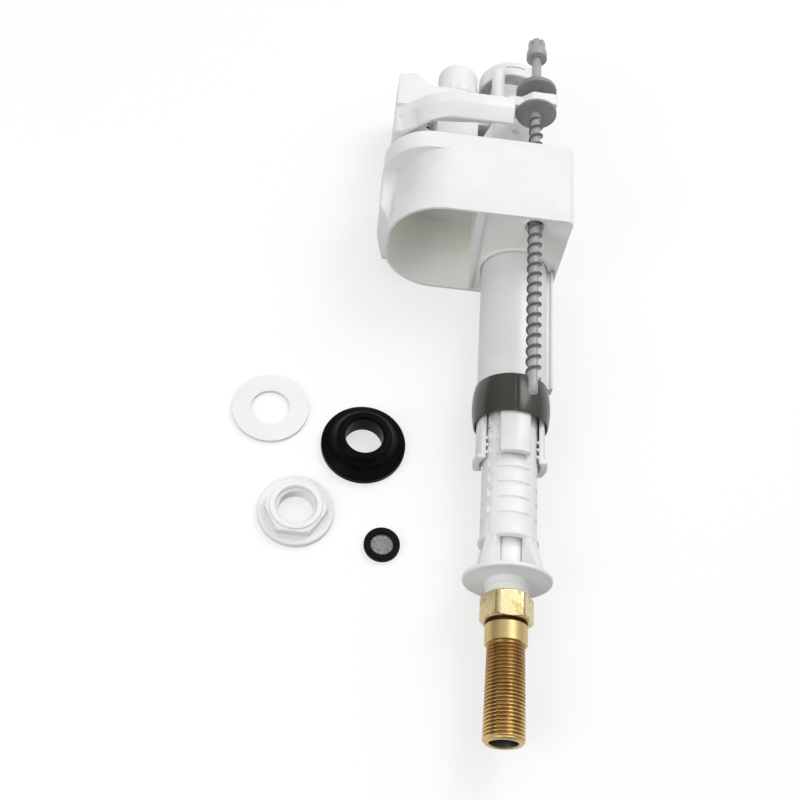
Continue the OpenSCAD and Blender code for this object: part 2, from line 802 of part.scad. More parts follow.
module adjuster_knob() color(grey) lie() translate([screw_x, -screw_front, knob_z]) {
    flute_d = 2.4;
    difference() {
        union() {
            rotate_extrude() polygon([
                [0, 0], [knob_skirt_d / 2 - 0.4, 0], [knob_skirt_d / 2, 0.4],
                [knob_skirt_d / 2, knob_skirt_h * 0.7],
                [knob_d / 2, knob_skirt_h], [0, knob_skirt_h]
            ]);
            cylinder(d = knob_d, h = knob_h);
        }
        for (i = [0 : knob_flutes - 1]) rotate([0, 0, (i + 0.5) * 360 / knob_flutes])
            translate([knob_d / 2 + 0.3, 0, knob_skirt_h - 0.6])
                cylinder(d = flute_d, h = knob_h, $fn = 24);
        translate([0, 0, -1]) cylinder(d = stem_d + 2 * seat_gap, h = knob_socket + 1 + seat_gap);
        translate([0, 0, knob_h - 2]) cylinder(d = 4, h = 3);
    }
}

// Corners of the beam's outer line, from the side bar round to its right end
function arm_corners() = [
    [-arm_left, 19 - arm_front], [7 - arm_left, 15 - arm_front], [16 - arm_left, 7 - arm_front],
    [31 - arm_left, -arm_front], [arm_end_x, -arm_front]
];

// Plan of the arm: a front beam, a cut corner and a side bar that runs back to the pivot
module arm_plan() {
    back = hinge_y + lug_w / 2 + slide_gap + cheek_w;
    polygon(concat(arm_corners(), [
        [arm_end_x, arm_w - arm_front], [36 - arm_left, arm_w - arm_front],
        [side_bar_w - arm_left, arm_w + 12 - arm_front], [side_bar_w - arm_left, back],
        [-arm_left, back]
    ]));
}

// Plan of the space behind the beam's front plate
module arm_hollow() {
    back = hinge_y - lug_w / 2 - slide_gap - cheek_w;
    y = arm_plate - arm_front;
    polygon([
        [arm_end_x + 5, y], [29 - arm_left, y], [15 - arm_left, y + 10], [6 - arm_left, y + 20],
        [6 - arm_left, back], [arm_end_x + 5, back]
    ]);
}

// A wedge that slopes the lower outer edge of the beam from point p to point q of its plan
module sloped_edge(p, q) {
    run = norm(q - p);
    translate([p[0], p[1], arm_z]) rotate([0, 0, atan2(q[1] - p[1], q[0] - p[0])])
        rotate([90, 0, 90]) translate([0, 0, -6]) linear_extrude(run + 12) polygon([
            [under_cut, -eps], [-eps, under_cut_h], [-9, under_cut_h], [-9, -9], [under_cut, -9]
        ]);
}

// The beam's end, which rises to the pad between the discs
module arm_neck() {
    neck_w = 11;
    translate([0, -screw_front + 8, 0]) rotate([90, 0, 0]) linear_extrude(neck_w) polygon([
        [arm_end_x - neck_len, arm_top_z - 1.5], [arm_end_x - neck_len + 3, pad_z + pad_h - 0.5],
        [screw_x - slot_d, pad_z + pad_h - 0.5], [screw_x - slot_d, pad_z + 0.5],
        [arm_end_x + 1, pad_z + 0.5], [arm_end_x - 0.5, pad_z - 1],
        [arm_end_x - 0.5, arm_top_z - 8], [arm_end_x - neck_len, arm_top_z - 8]
    ]);
}

// The pad that the discs hold, with its front left corner cut
module pad() {
    front = 7.7;
    left = 12.2;
    translate([screw_x, -screw_front, pad_z]) linear_extrude(pad_h) polygon([
        [-left, 1], [-3.4, -front], [pad_reach - 1, -front], [pad_reach, 1 - front],
        [pad_reach, 6.4], [pad_reach - 2, 8.4], [-left, 8.4]
    ]);
}

module cheek(y) {
    translate([0, y, 0]) {
        translate([-pivot_x, 0, pivot_z]) rotate([-90, 0, 0]) cylinder(r = cheek_r, h = cheek_w);
        translate([-pivot_x - cheek_r, 0, arm_z]) cube([2 * cheek_r, cheek_w, pivot_rise]);
    }
}

module lever_arm() color(white) lie() {
    gap_w = lug_w + 2 * slide_gap;
    corners = arm_corners();
    difference() {
        union() {
            difference() {
                translate([0, 0, arm_z]) linear_extrude(arm_h) arm_plan();
                translate([0, 0, arm_z - 1]) linear_extrude(arm_h + 1 - flange_h) arm_hollow();
                for (i = [0 : len(corners) - 2]) sloped_edge(corners[i], corners[i + 1]);
            }
            pad();
            arm_neck();
            cheek(hinge_y - gap_w / 2 - cheek_w);
            cheek(hinge_y + gap_w / 2);
            translate([-pilot_x, hinge_y, arm_top_z - 6])
                cylinder(d = seal_d + 2.4, h = seal_z - arm_top_z + 6 - seat_gap);
        }
        translate([-arm_left - 1, hinge_y - gap_w / 2, arm_z - 1])
            cube([arm_left + 1 - pivot_x + cheek_r + slide_gap, gap_w, arm_h + pivot_rise + cheek_r]);
        translate([-pivot_x, hinge_y - gap_w, pivot_z]) rotate([-90, 0, 0])
            translate([0, 0, -cheek_w]) cylinder(d = pin_d + 2 * seat_gap, h = 3 * cheek_w + gap_w);
        translate([screw_x, -screw_front, pad_z - 1]) slot_bar(slot_d, 2 * slot_travel, pad_h + 2);
    }
}

module arm_pin() color(steel) lie() {
    translate([-pivot_x, hinge_y - pin_len / 2, pivot_z]) rotate([-90, 0, 0]) {
        cylinder(d = pin_d, h = pin_len);
    }
}

module pilot_seal() color(rubber) lie() {
    translate([-pilot_x, hinge_y, seal_z]) cylinder(d = seal_d, h = seal_t);
}

module tower_plan() {
    corner = 3;
    x0 = -tower_x - tower_w / 2;
    translate([x0 + corner, -tower_front]) square([tower_w - 2 * corner, tower_front + tower_back]);
    translate([x0, -tower_front + corner]) square([tower_w, tower_front + tower_back - 2 * corner]);
    for (x = [x0 + corner, x0 + tower_w - corner], y = [corner - tower_front, tower_back - corner])
        translate([x, y]) circle(r = corner);
}

// A peg of radius r and height h whose top is a dome with a small flat
module round_peg(r, h) {
    rotate_extrude() polygon(concat(
        [[0, 0], [r, 0]],
        [for (a = [0 : 15 : 75]) [r * cos(a), h - r + r * sin(a)]],
        [[0, h - r + r * sin(75)]]
    ));
}

module valve_body() color(white) lie() {
    bracket_y = hinge_y - lug_w / 2 - 13;
    difference() {
        union() {
            translate([0, 0, tube_top_z - plug_len])
                cylinder(d = tube_bore - 2 * seat_gap, h = plug_len + 1);
            translate([0, 0, tube_top_z + seat_gap]) linear_extrude(tower_h - seat_gap) tower_plan();
            // Left tower with a flat front
            translate([-chamber_x, chamber_cy, chamber_z])
                cylinder(d = chamber_d, h = chamber_top_z - chamber_z);
            translate([-chamber_x - chamber_d / 2 + 1, 0.4 - tower_front, chamber_z])
                cube([chamber_d - 2, chamber_d / 2, chamber_top_z - chamber_z - 6]);
            // Water duct between the towers, with a web under it
            translate([-chamber_x, chamber_cy - duct_d / 2 - 2, duct_z - duct_d / 2 - 2])
                cube([chamber_x, duct_d + 4, duct_d + 4]);
            translate([-chamber_x, 4, tube_top_z + 8]) cube([chamber_x, 3, duct_z - tube_top_z]);
            // Bracket for the arm, with the pilot passage
            translate([0, bracket_y + 28, 0]) rotate([90, 0, 0]) linear_extrude(28) polygon([
                [-bracket_left, bracket_z], [-bracket_left, bracket_top_z - 3],
                [1 - bracket_left, bracket_top_z - 2], [-bracket_left + 11, bracket_top_z],
                [-bracket_left + 17, bracket_top_z - 6.5], [-bracket_left + 22, bracket_top_z - 9],
                [-chamber_x, bracket_top_z - 9], [-chamber_x, bracket_z]
            ]);
            // Flared foot of the right tower
            translate([0, 9 - tower_front, 0]) rotate([90, 0, 0]) linear_extrude(8.2) polygon([
                [-tower_x - tower_w / 2 + 1, tube_top_z + 30.5], [-tower_x - tower_w / 2 + 1, tube_top_z + 6],
                [-tower_x - tower_w / 2 - gusset_w, tube_top_z + 6],
                [-tower_x - tower_w / 2 - gusset_w, tube_top_z + 8]
            ]);
            translate([-pilot_x, hinge_y, nozzle_z]) cylinder(d = 4, h = 6);
            // Lug that the pivot pin passes through
            translate([-pivot_x, hinge_y - lug_w / 2, pivot_z]) rotate([-90, 0, 0])
                cylinder(r = cheek_r, h = lug_w);
            translate([-pivot_x - cheek_r, hinge_y - lug_w / 2, pivot_z])
                cube([2 * cheek_r, lug_w, bracket_z - pivot_z + 1]);
            translate([peg_x, -peg_front - tower_front, duct_z])
                round_peg(peg_w / 2, tower_top_z + peg_rise - duct_z);
        }
        // Water way: up the riser, along the duct, round the nozzle and down the outlet
        translate([0, 0, tube_top_z - plug_len - 1])
            cylinder(d = riser_d + 2 * seat_gap, h = plug_len + riser_in_body + 1 + seat_gap);
        translate([0, 0, tube_top_z]) cylinder(d = riser_bore, h = duct_z - tube_top_z + duct_d / 2 + 2);
        translate([-chamber_x, chamber_cy, duct_z]) rotate([0, 90, 0]) cylinder(d = duct_d, h = chamber_x);
        translate([-chamber_x, chamber_cy, water_floor_z])
            tube(chamber_bore, nozzle_d, ledge_z - 0.6 - water_floor_z);
        translate([-chamber_x, chamber_cy, ledge_z - 0.62]) cylinder(d = chamber_bore, h = 10);
        translate([-chamber_x, chamber_cy, ledge_z]) cylinder(d = ledge_d, h = 10);
        translate([-chamber_x, chamber_cy, chamber_z - 1]) cylinder(d = outlet_d, h = chamber_h);
        translate([-pivot_x, hinge_y - lug_w, pivot_z]) rotate([-90, 0, 0])
            cylinder(d = pin_d + 2 * seat_gap, h = 2 * lug_w);
        translate([-pilot_x, hinge_y, nozzle_z - 1]) cylinder(d = 1.2, h = 9);
        // Small round hole in the front face
        translate([-tower_x, 2 - tower_front, tube_top_z + sight_rise]) rotate([90, 0, 0])
            cylinder(d = sight_d, h = 5);
    }
}

module head_cap() color(white) lie() {
    ribs = 16;
    low_d = cap_d;
    grip_h = 6;
    inner_d = chamber_bore - 1;
    translate([-chamber_x, chamber_cy, chamber_top_z]) difference() {
        union() {
            translate([0, 0, rim_t - 4 + seat_gap]) cylinder(d = ledge_d - 2 * turn_gap, h = 4);
            rotate_extrude() polygon(concat(
                [[0, slide_gap], [low_d / 2 - 0.5, slide_gap], [low_d / 2, slide_gap + 0.5],
                    [low_d / 2, grip_h], [low_d / 2 - cap_step / 2, grip_h + 0.6],
                    [low_d / 2 - cap_step / 2, grip_h + 5], [low_d / 2 - cap_step, grip_h + 5.6]],
                [for (a = [0 : 10 : 90]) [
                    low_d / 2 - cap_step - 4 + 4 * cos(a), cap_h - 4 + 4 * sin(a)
                ]],
                [[0, cap_h]]
            ));
            for (i = [0 : ribs - 1]) rotate([0, 0, i * 360 / ribs])
                translate([low_d / 2 - 0.6, -0.6, slide_gap + 0.8]) cube([1, 1.2, grip_h - 1.6]);
        }
        translate([0, 0, -5]) cylinder(d = inner_d - 2, h = 5 + cap_h - 4);
    }
}

module diaphragm() color(rubber) lie() {
    translate([-chamber_x, chamber_cy, ledge_z]) rotate_extrude() polygon([
        [1.4, 0.3], [5.6, 0.3], [6.6, 1.4], [8, 1.4], [9, 0.3], [chamber_bore / 2, 0],
        [ledge_d / 2 - seat_gap, 0], [ledge_d / 2 - seat_gap, rim_t], [8.3, rim_t],
        [7.6, 2.6], [6.2, 2.6], [5.2, 1.6], [1.4, 1.6]
    ]);
}

module diaphragm_pin() color(dull_white) lie() {
    translate([-chamber_x, chamber_cy, ledge_z + rim_t + 5 - metering_len])
        cylinder(d = metering_d, h = metering_len);
    translate([-chamber_x, chamber_cy, ledge_z + 1.65]) cylinder(d = metering_cap_d, h = metering_cap_t);
}

module vent_hood() color(white) lie() {
    bevel = hood_wall;
    translate([-hood_x, hood_cy, tower_top_z + seat_gap]) {
        cylinder(d = hood_stem_d, h = hood_gap + hood_h - hood_wall);
        translate([0, 0, hood_gap]) difference() {
            rotate_extrude() polygon([
                [hood_d / 2 - hood_wall, 0], [hood_d / 2, 0], [hood_d / 2, hood_h - bevel],
                [hood_d / 2 - bevel, hood_h], [0, hood_h], [0, hood_h - hood_wall],
                [hood_d / 2 - hood_wall - bevel, hood_h - hood_wall],
                [hood_d / 2 - hood_wall, hood_h - hood_wall - bevel]
            ]);
            // Narrow slot in the front of the skirt
            translate([-hood_slot_w / 2, -hood_d, hood_h * 0.5]) cube([hood_slot_w, hood_d, 1]);
        }
    }
}

module flat_washer() color(white) lie() on_table(washer_x, washer_z) {
    tube(washer_d, washer_hole_d, washer_t);
}

module rubber_gasket() color(rubber) lie() on_table(gasket_x, gasket_z) {
    rotate_extrude() polygon([
        [gasket_hole_d / 2, 0], [gasket_d / 2, 0], [gasket_d / 2, gasket_rim_h],
        [gasket_d / 2 - 1.2, gasket_rim_h + 0.8], [gasket_top_d / 2 + 0.8, gasket_rim_h + 2.4],
        [gasket_top_d / 2, gasket_rim_h + 3.6], [gasket_hole_d / 2 + 4, gasket_h],
        [gasket_hole_d / 2 + 1, gasket_h], [gasket_hole_d / 2, gasket_h - 1]
    ]);
}

module back_nut() color(white) lie() on_table(nut_x, nut_z) {
    lead_h = 3;
    difference() {
        union() {
            cylinder(d = nut_flange_d, h = nut_flange_t);
            hexagon(nut_af, nut_h - 1.2, 1);
            cylinder(d = nut_af - 1.6, h = nut_h);
        }
        translate([0, 0, -1]) cylinder(d = nut_bore_d, h = nut_h + 2);
        translate([0, 0, nut_h - lead_h]) cylinder(d = nut_lead_d, h = lead_h + 1);
    }
}

module filter_ring() color(rubber) lie() on_table(filter_x, filter_z) {
    difference() {
        tube(filter_d, gauze_d, filter_t);
        translate([0, 0, filter_t / 2 - 0.4]) cylinder(d = gauze_d + 2, h = 0.8);
    }
}

module filter_gauze() color(steel) lie() on_table(filter_x, filter_z) {
    translate([0, 0, filter_t / 2 - 0.35]) cylinder(d = gauze_d + 2 - 2 * seat_gap, h = 0.7);
}

brass_tail();
tail_o_ring();
flow_restrictor();
foot_column();
inlet_pipe();
pipe_o_ring();
riser_pipe();
guide_tube();
lock_collar();
float_cup();
float_lid();
adjusting_screw();
lower_disc();
upper_disc();
adjuster_knob();
lever_arm();
arm_pin();
pilot_seal();
valve_body();
head_cap();
diaphragm();
diaphragm_pin();
vent_hood();
flat_washer();
rubber_gasket();
back_nut();
filter_ring();
filter_gauze();
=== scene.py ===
"""Dresses the bottom inlet fill valve and its loose fittings, and lights them on a pale table.

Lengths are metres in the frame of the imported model: +Y runs up the valve from the inlet, +Z is up off the
table, and the origin is the centre of the tail's open end. Each sub-assembly is a class that holds its sizes
and builds its own pieces. Every finish is a frozen dataclass that makes one procedural material.
"""

from __future__ import annotations

import json
import logging
import math
from abc import ABC, abstractmethod
from dataclasses import dataclass
from enum import Enum
from typing import Any, Iterable, Mapping, Sequence, Union

import bmesh
import bpy
import numpy as np
from mathutils import Matrix, Vector

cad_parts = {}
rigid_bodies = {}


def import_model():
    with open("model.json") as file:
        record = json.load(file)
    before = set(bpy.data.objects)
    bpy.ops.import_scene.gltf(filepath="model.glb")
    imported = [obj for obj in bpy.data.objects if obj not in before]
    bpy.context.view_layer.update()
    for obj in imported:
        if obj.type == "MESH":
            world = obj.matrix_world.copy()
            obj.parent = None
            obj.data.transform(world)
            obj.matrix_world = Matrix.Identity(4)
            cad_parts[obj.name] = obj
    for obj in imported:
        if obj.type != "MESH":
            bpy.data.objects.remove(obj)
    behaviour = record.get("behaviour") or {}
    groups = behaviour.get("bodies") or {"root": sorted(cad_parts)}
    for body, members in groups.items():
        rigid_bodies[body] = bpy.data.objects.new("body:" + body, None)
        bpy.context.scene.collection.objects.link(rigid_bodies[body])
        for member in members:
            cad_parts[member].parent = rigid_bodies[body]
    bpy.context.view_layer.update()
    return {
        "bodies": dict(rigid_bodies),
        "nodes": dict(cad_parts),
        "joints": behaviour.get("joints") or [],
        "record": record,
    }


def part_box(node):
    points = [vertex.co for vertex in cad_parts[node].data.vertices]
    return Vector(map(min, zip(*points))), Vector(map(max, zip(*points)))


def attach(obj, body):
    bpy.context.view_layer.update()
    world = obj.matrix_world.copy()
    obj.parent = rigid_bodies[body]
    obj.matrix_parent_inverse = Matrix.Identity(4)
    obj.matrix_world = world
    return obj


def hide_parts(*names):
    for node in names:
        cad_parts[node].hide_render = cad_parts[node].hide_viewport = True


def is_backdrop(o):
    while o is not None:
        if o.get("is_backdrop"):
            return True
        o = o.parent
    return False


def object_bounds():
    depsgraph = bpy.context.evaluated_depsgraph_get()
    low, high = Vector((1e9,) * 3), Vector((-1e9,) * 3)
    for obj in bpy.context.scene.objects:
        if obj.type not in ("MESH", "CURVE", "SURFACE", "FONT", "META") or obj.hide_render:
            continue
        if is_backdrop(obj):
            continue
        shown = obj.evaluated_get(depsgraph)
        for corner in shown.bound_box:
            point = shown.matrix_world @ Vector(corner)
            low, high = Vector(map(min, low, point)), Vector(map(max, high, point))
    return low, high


LOG = logging.getLogger("fill_valve")
MM = 0.001
TURN = 2 * math.pi

Colour = tuple[float, float, float]


# Shader expressions


class Signal:
    """A shader socket that can be used in a Python expression. Each operator adds one Math node."""

    def __init__(self, tree: NodeTree, socket: bpy.types.NodeSocket) -> None:
        """Wraps a socket.

        Args:
            tree: The tree that the socket belongs to.
            socket: An output socket with a number, a colour or a vector.
        """
        self.tree = tree
        self.socket = socket

    def _math(self, operation: str, *values: Any) -> Signal:
        """Adds a Math node and returns its value."""
        inputs = dict(enumerate(values))
        return self.tree.node("ShaderNodeMath", {"operation": operation}, inputs).out("Value")

    def __add__(self, other: Any) -> Signal:
        """Sum."""
        return self._math("ADD", self, other)

    __radd__ = __add__

    def __mul__(self, other: Any) -> Signal:
        """Product."""
        return self._math("MULTIPLY", self, other)

    __rmul__ = __mul__

    def __sub__(self, other: Any) -> Signal:
        """Difference."""
        return self._math("SUBTRACT", self, other)

    def __rsub__(self, other: Any) -> Signal:
        """Difference with the signal second."""
        return self._math("SUBTRACT", other, self)

    def __truediv__(self, other: Any) -> Signal:
        """Quotient."""
        return self._math("DIVIDE", self, other)

    def __pow__(self, other: Any) -> Signal:
        """Power."""
        return self._math("POWER", self, other)

    def __abs__(self) -> Signal:
        """Size without sign."""
        return self._math("ABSOLUTE", self)

    def sine(self) -> Signal:
        """Sine of an angle in radians."""
        return self._math("SINE", self)

    def least(self, other: Any) -> Signal:
        """The smaller of the two."""
        return self._math("MINIMUM", self, other)

    def most(self, other: Any) -> Signal:
        """The larger of the two."""
        return self._math("MAXIMUM", self, other)

    def step(self, low: float, high: float) -> Signal:
        """A smooth step.

        Args:
            low: Where the result is 0.
            high: Where the result is 1. It may be the smaller number, for a step down.

        Returns:
            A number from 0 to 1.
        """
        if low > high:
            return 1 - self.step(high, low)
        settings = {"interpolation_type": "SMOOTHSTEP"}
        inputs = {"Value": self, "From Min": low, "From Max": high}
        return self.tree.node("ShaderNodeMapRange", settings, inputs).out("Result")


class AddedNode:
    """A node in a tree, with its outputs as signals."""

    def __init__(self, tree: NodeTree, node: bpy.types.Node) -> None:
        """Wraps a node of a tree."""
        self.tree = tree
        self.node = node

    def out(self, name: Union[str, int] = 0) -> Signal:
        """The output with that name or number."""
        return Signal(self.tree, self.node.outputs[name])


class NodeTree:
    """Builds the node tree of one material or of the world."""

    def __init__(self, owner: bpy.types.Material | bpy.types.World) -> None:
        """Empties the node tree of a material or a world, and takes it.

        Args:
            owner: The material or the world.
        """
        owner.use_nodes = True
        owner.node_tree.nodes.clear()
        self.tree = owner.node_tree

    def node(
        self,
        kind: str,
        settings: Mapping[str, Any] | None = None,
        inputs: Mapping[Union[str, int], Any] | None = None,
    ) -> AddedNode:
        """Adds any node.

        Args:
            kind: The node's type name.
            settings: Its properties, which are set first.
            inputs: Values or signals for its input sockets, by name or number.

        Returns:
            The node.
        """
        node = self.tree.nodes.new(kind)
        for name, value in (settings or {}).items():
            setattr(node, name, value)
        for name, value in (inputs or {}).items():
            self._feed(node.inputs[name], value)
        return AddedNode(self, node)

    def _feed(self, socket: bpy.types.NodeSocket, value: Any) -> None:
        """Links a signal to a socket, or sets the socket's own value.

        Args:
            socket: The input socket.
            value: A signal, or a value of the socket's kind.
        """
        if isinstance(value, Signal):
            self.tree.links.new(value.socket, socket)
        elif isinstance(value, (tuple, list)) and len(value) == 3 and socket.type == "RGBA":
            socket.default_value = (*value, 1.0)
        else:
            socket.default_value = value

    def place(self) -> Signal:
        """Object coordinates, which are metres in the model's frame."""
        return self.node("ShaderNodeTexCoord").out("Object")

    def axes(self, place: Signal) -> tuple[Signal, Signal, Signal]:
        """The x, y and z of a vector signal."""
        split = self.node("ShaderNodeSeparateXYZ", inputs={0: place})
        return split.out("X"), split.out("Y"), split.out("Z")

    def noise(self, place: Signal, size: float, detail: float = 3.0, rough: float = 0.5) -> Signal:
        """Cloudy noise.

        Args:
            place: Where it is read.
            size: Size of its lumps in metres.
            detail: Number of finer layers.
            rough: Share of each finer layer.

        Returns:
            A number from 0 to 1, about 0.5 on average.
        """
        inputs = {"Vector": place, "Scale": 1 / size, "Detail": detail, "Roughness": rough}
        return self.node("ShaderNodeTexNoise", inputs=inputs).out(0)

    def stretched(self, place: Signal, scale: tuple[float, float, float]) -> Signal:
        """A place with each axis scaled, for streaks."""
        settings = {"operation": "MULTIPLY"}
        return self.node("ShaderNodeVectorMath", settings, {0: place, 1: scale}).out("Vector")

    def mixed(self, factor: Any, first: Any, second: Any) -> Signal:
        """A colour between two colours, the first where the factor is 0."""
        settings = {"data_type": "RGBA", "blend_type": "MIX"}
        return self.node("ShaderNodeMix", settings, {0: factor, 6: first, 7: second}).out(2)

    def bump(self, height: Signal, depth: float) -> Signal:
        """A normal that follows a height from 0 to 1, which stands for depth metres."""
        inputs = {"Height": height, "Distance": depth, "Strength": 1.0}
        return self.node("ShaderNodeBump", inputs=inputs).out("Normal")

    def distance_from_axis(self, x: Signal, z: Signal, centre: tuple[float, float]) -> Signal:
        """Distance from a line along Y through the centre (x, z)."""
        return ((x - centre[0]) ** 2 + (z - centre[1]) ** 2) ** 0.5


# Finishes


@dataclass(frozen=True)
class Finish(ABC):
    """A surface finish that makes one material."""

    name: str

    def material(self) -> bpy.types.Material:
        """Makes the material with a Principled shader.

        Returns:
            The new material.
        """
        made = bpy.data.materials.new(self.name)
        tree = NodeTree(made)
        shader = tree.node("ShaderNodeBsdfPrincipled", inputs=self.sockets(tree))
        tree.node("ShaderNodeOutputMaterial", inputs={"Surface": shader.out("BSDF")})
        return made

    @abstractmethod
    def sockets(self, tree: NodeTree) -> dict[str, Any]:
        """Works out what feeds the Principled shader.

        Args:
            tree: The material's tree, to which nodes are added.

        Returns:
            Values or signals by socket name.
        """


@dataclass(frozen=True)
class MouldedPlastic(Finish):
    """Injection-moulded plastic: faint cloudiness, fine satin grain and slow waves of shrinkage."""

    colour: Colour
    shade: Colour
    roughness: float = 0.42
    uneven: float = 0.08
    grain_size: float = 0.35 * MM
    grain_depth: float = 0.010 * MM
    sink_size: float = 16 * MM
    sink_depth: float = 0.10 * MM
    cloud_size: float = 22 * MM
    speck_size: float = 0.9 * MM
    coat: float = 0.0
    glow: float = 0.0
    glow_depth: float = 1.5 * MM

    def sockets(self, tree: NodeTree) -> dict[str, Any]:
        """Cloudy colour and gloss, with grain and shrinkage in the bump.

        Args:
            tree: The material's tree, to which nodes are added.

        Returns:
            Values or signals by socket name.
        """
        place = tree.place()
        cloud = tree.noise(place, self.cloud_size, 4.0)
        speck = tree.noise(place, self.speck_size, 2.0)
        grain = tree.noise(place, self.grain_size, 2.0)
        sink = tree.noise(place, self.sink_size, 1.0)
        height = grain * (self.grain_depth / self.sink_depth) + sink
        return {
            "Base Color": tree.mixed(cloud.step(0.30, 0.75), self.colour, self.shade),
            "Roughness": speck * self.uneven + cloud * self.uneven + (self.roughness - self.uneven),
            "Normal": tree.bump(height, self.sink_depth),
            "Coat Weight": self.coat,
            "Coat Roughness": 0.12,
            "Subsurface Weight": self.glow,
            "Subsurface Radius": (1.0, 0.95, 0.85),
            "Subsurface Scale": self.glow_depth,
            "IOR": 1.49,
        }


@dataclass(frozen=True, kw_only=True)
class CupPlastic(MouldedPlastic):
    """White plastic of the float, with painted bounce light as a warm, paler tint inside the open chambers.
    """

    left: float
    right: float
    low: float
    high: float
    corner: float
    rim: float
    lean: float
    lean_top: float
    fade: float = 0.5 * MM
    # painted bounce light: the warm tint inside the chambers
    painted_bounce_light: Colour = (0.93, 0.92, 0.87)

    def sockets(self, tree: NodeTree) -> dict[str, Any]:
        """The moulded finish with painted bounce light, a warm tint, inside the cup's wall.

        The wall's plan is a box whose left corners are round. With u the distance left of the corners'
        centres and v the distance above or below them, each at least 0, a point is inside where
        (u^2 + v^2)^0.5 is under the corner's radius, x is under the right wall and y is above the rim. The
        lean of the left wall is taken off x first.

        Args:
            tree: The material's tree, to which nodes are added.

        Returns:
            Values or signals by socket name.
        """
        made = super().sockets(tree)
        x, y, z = tree.axes(tree.place())
        rise = ((y - self.rim) / (self.lean_top - self.rim)).most(0.0).least(1.0)
        x = x - rise * x.step(self.left + self.corner, self.left) * self.lean
        half = (self.high - self.low) / 2 - self.corner
        aside = (abs(z - (self.high + self.low) / 2) - half).most(0.0)
        away = ((x - (self.left + self.corner)).least(0.0) ** 2 + aside**2) ** 0.5
        inside = away.step(self.corner + self.fade, self.corner)
        inside = inside * x.step(self.right + self.fade, self.right)
        inside = inside * y.step(self.rim, self.rim + self.fade)
        # painted bounce light inside the chambers
        made["Base Color"] = tree.mixed(inside, made["Base Color"], self.painted_bounce_light)
        return made


@dataclass(frozen=True, kw_only=True)
class RidgeShadedPlastic(MouldedPlastic):
    """Grey plastic of the screw, with painted shade that makes its ridge darker than its core."""

    axis: tuple[float, float]
    inner_r: float = 2.95 * MM
    outer_r: float = 3.3 * MM
    # painted shade of the ridge
    ridge: Colour = (0.12, 0.12, 0.124)

    def sockets(self, tree: NodeTree) -> dict[str, Any]:
        """The moulded finish, with painted shade on the ridge that darkens it by distance from the screw's
        axis.

        Args:
            tree: The material's tree, to which nodes are added.

        Returns:
            Values or signals by socket name.
        """
        made = super().sockets(tree)
        x, _, z = tree.axes(tree.place())
        outside = tree.distance_from_axis(x, z, self.axis).step(self.inner_r, self.outer_r)
        # painted shade on the ridge
        made["Base Color"] = tree.mixed(outside, made["Base Color"], self.ridge)
        return made


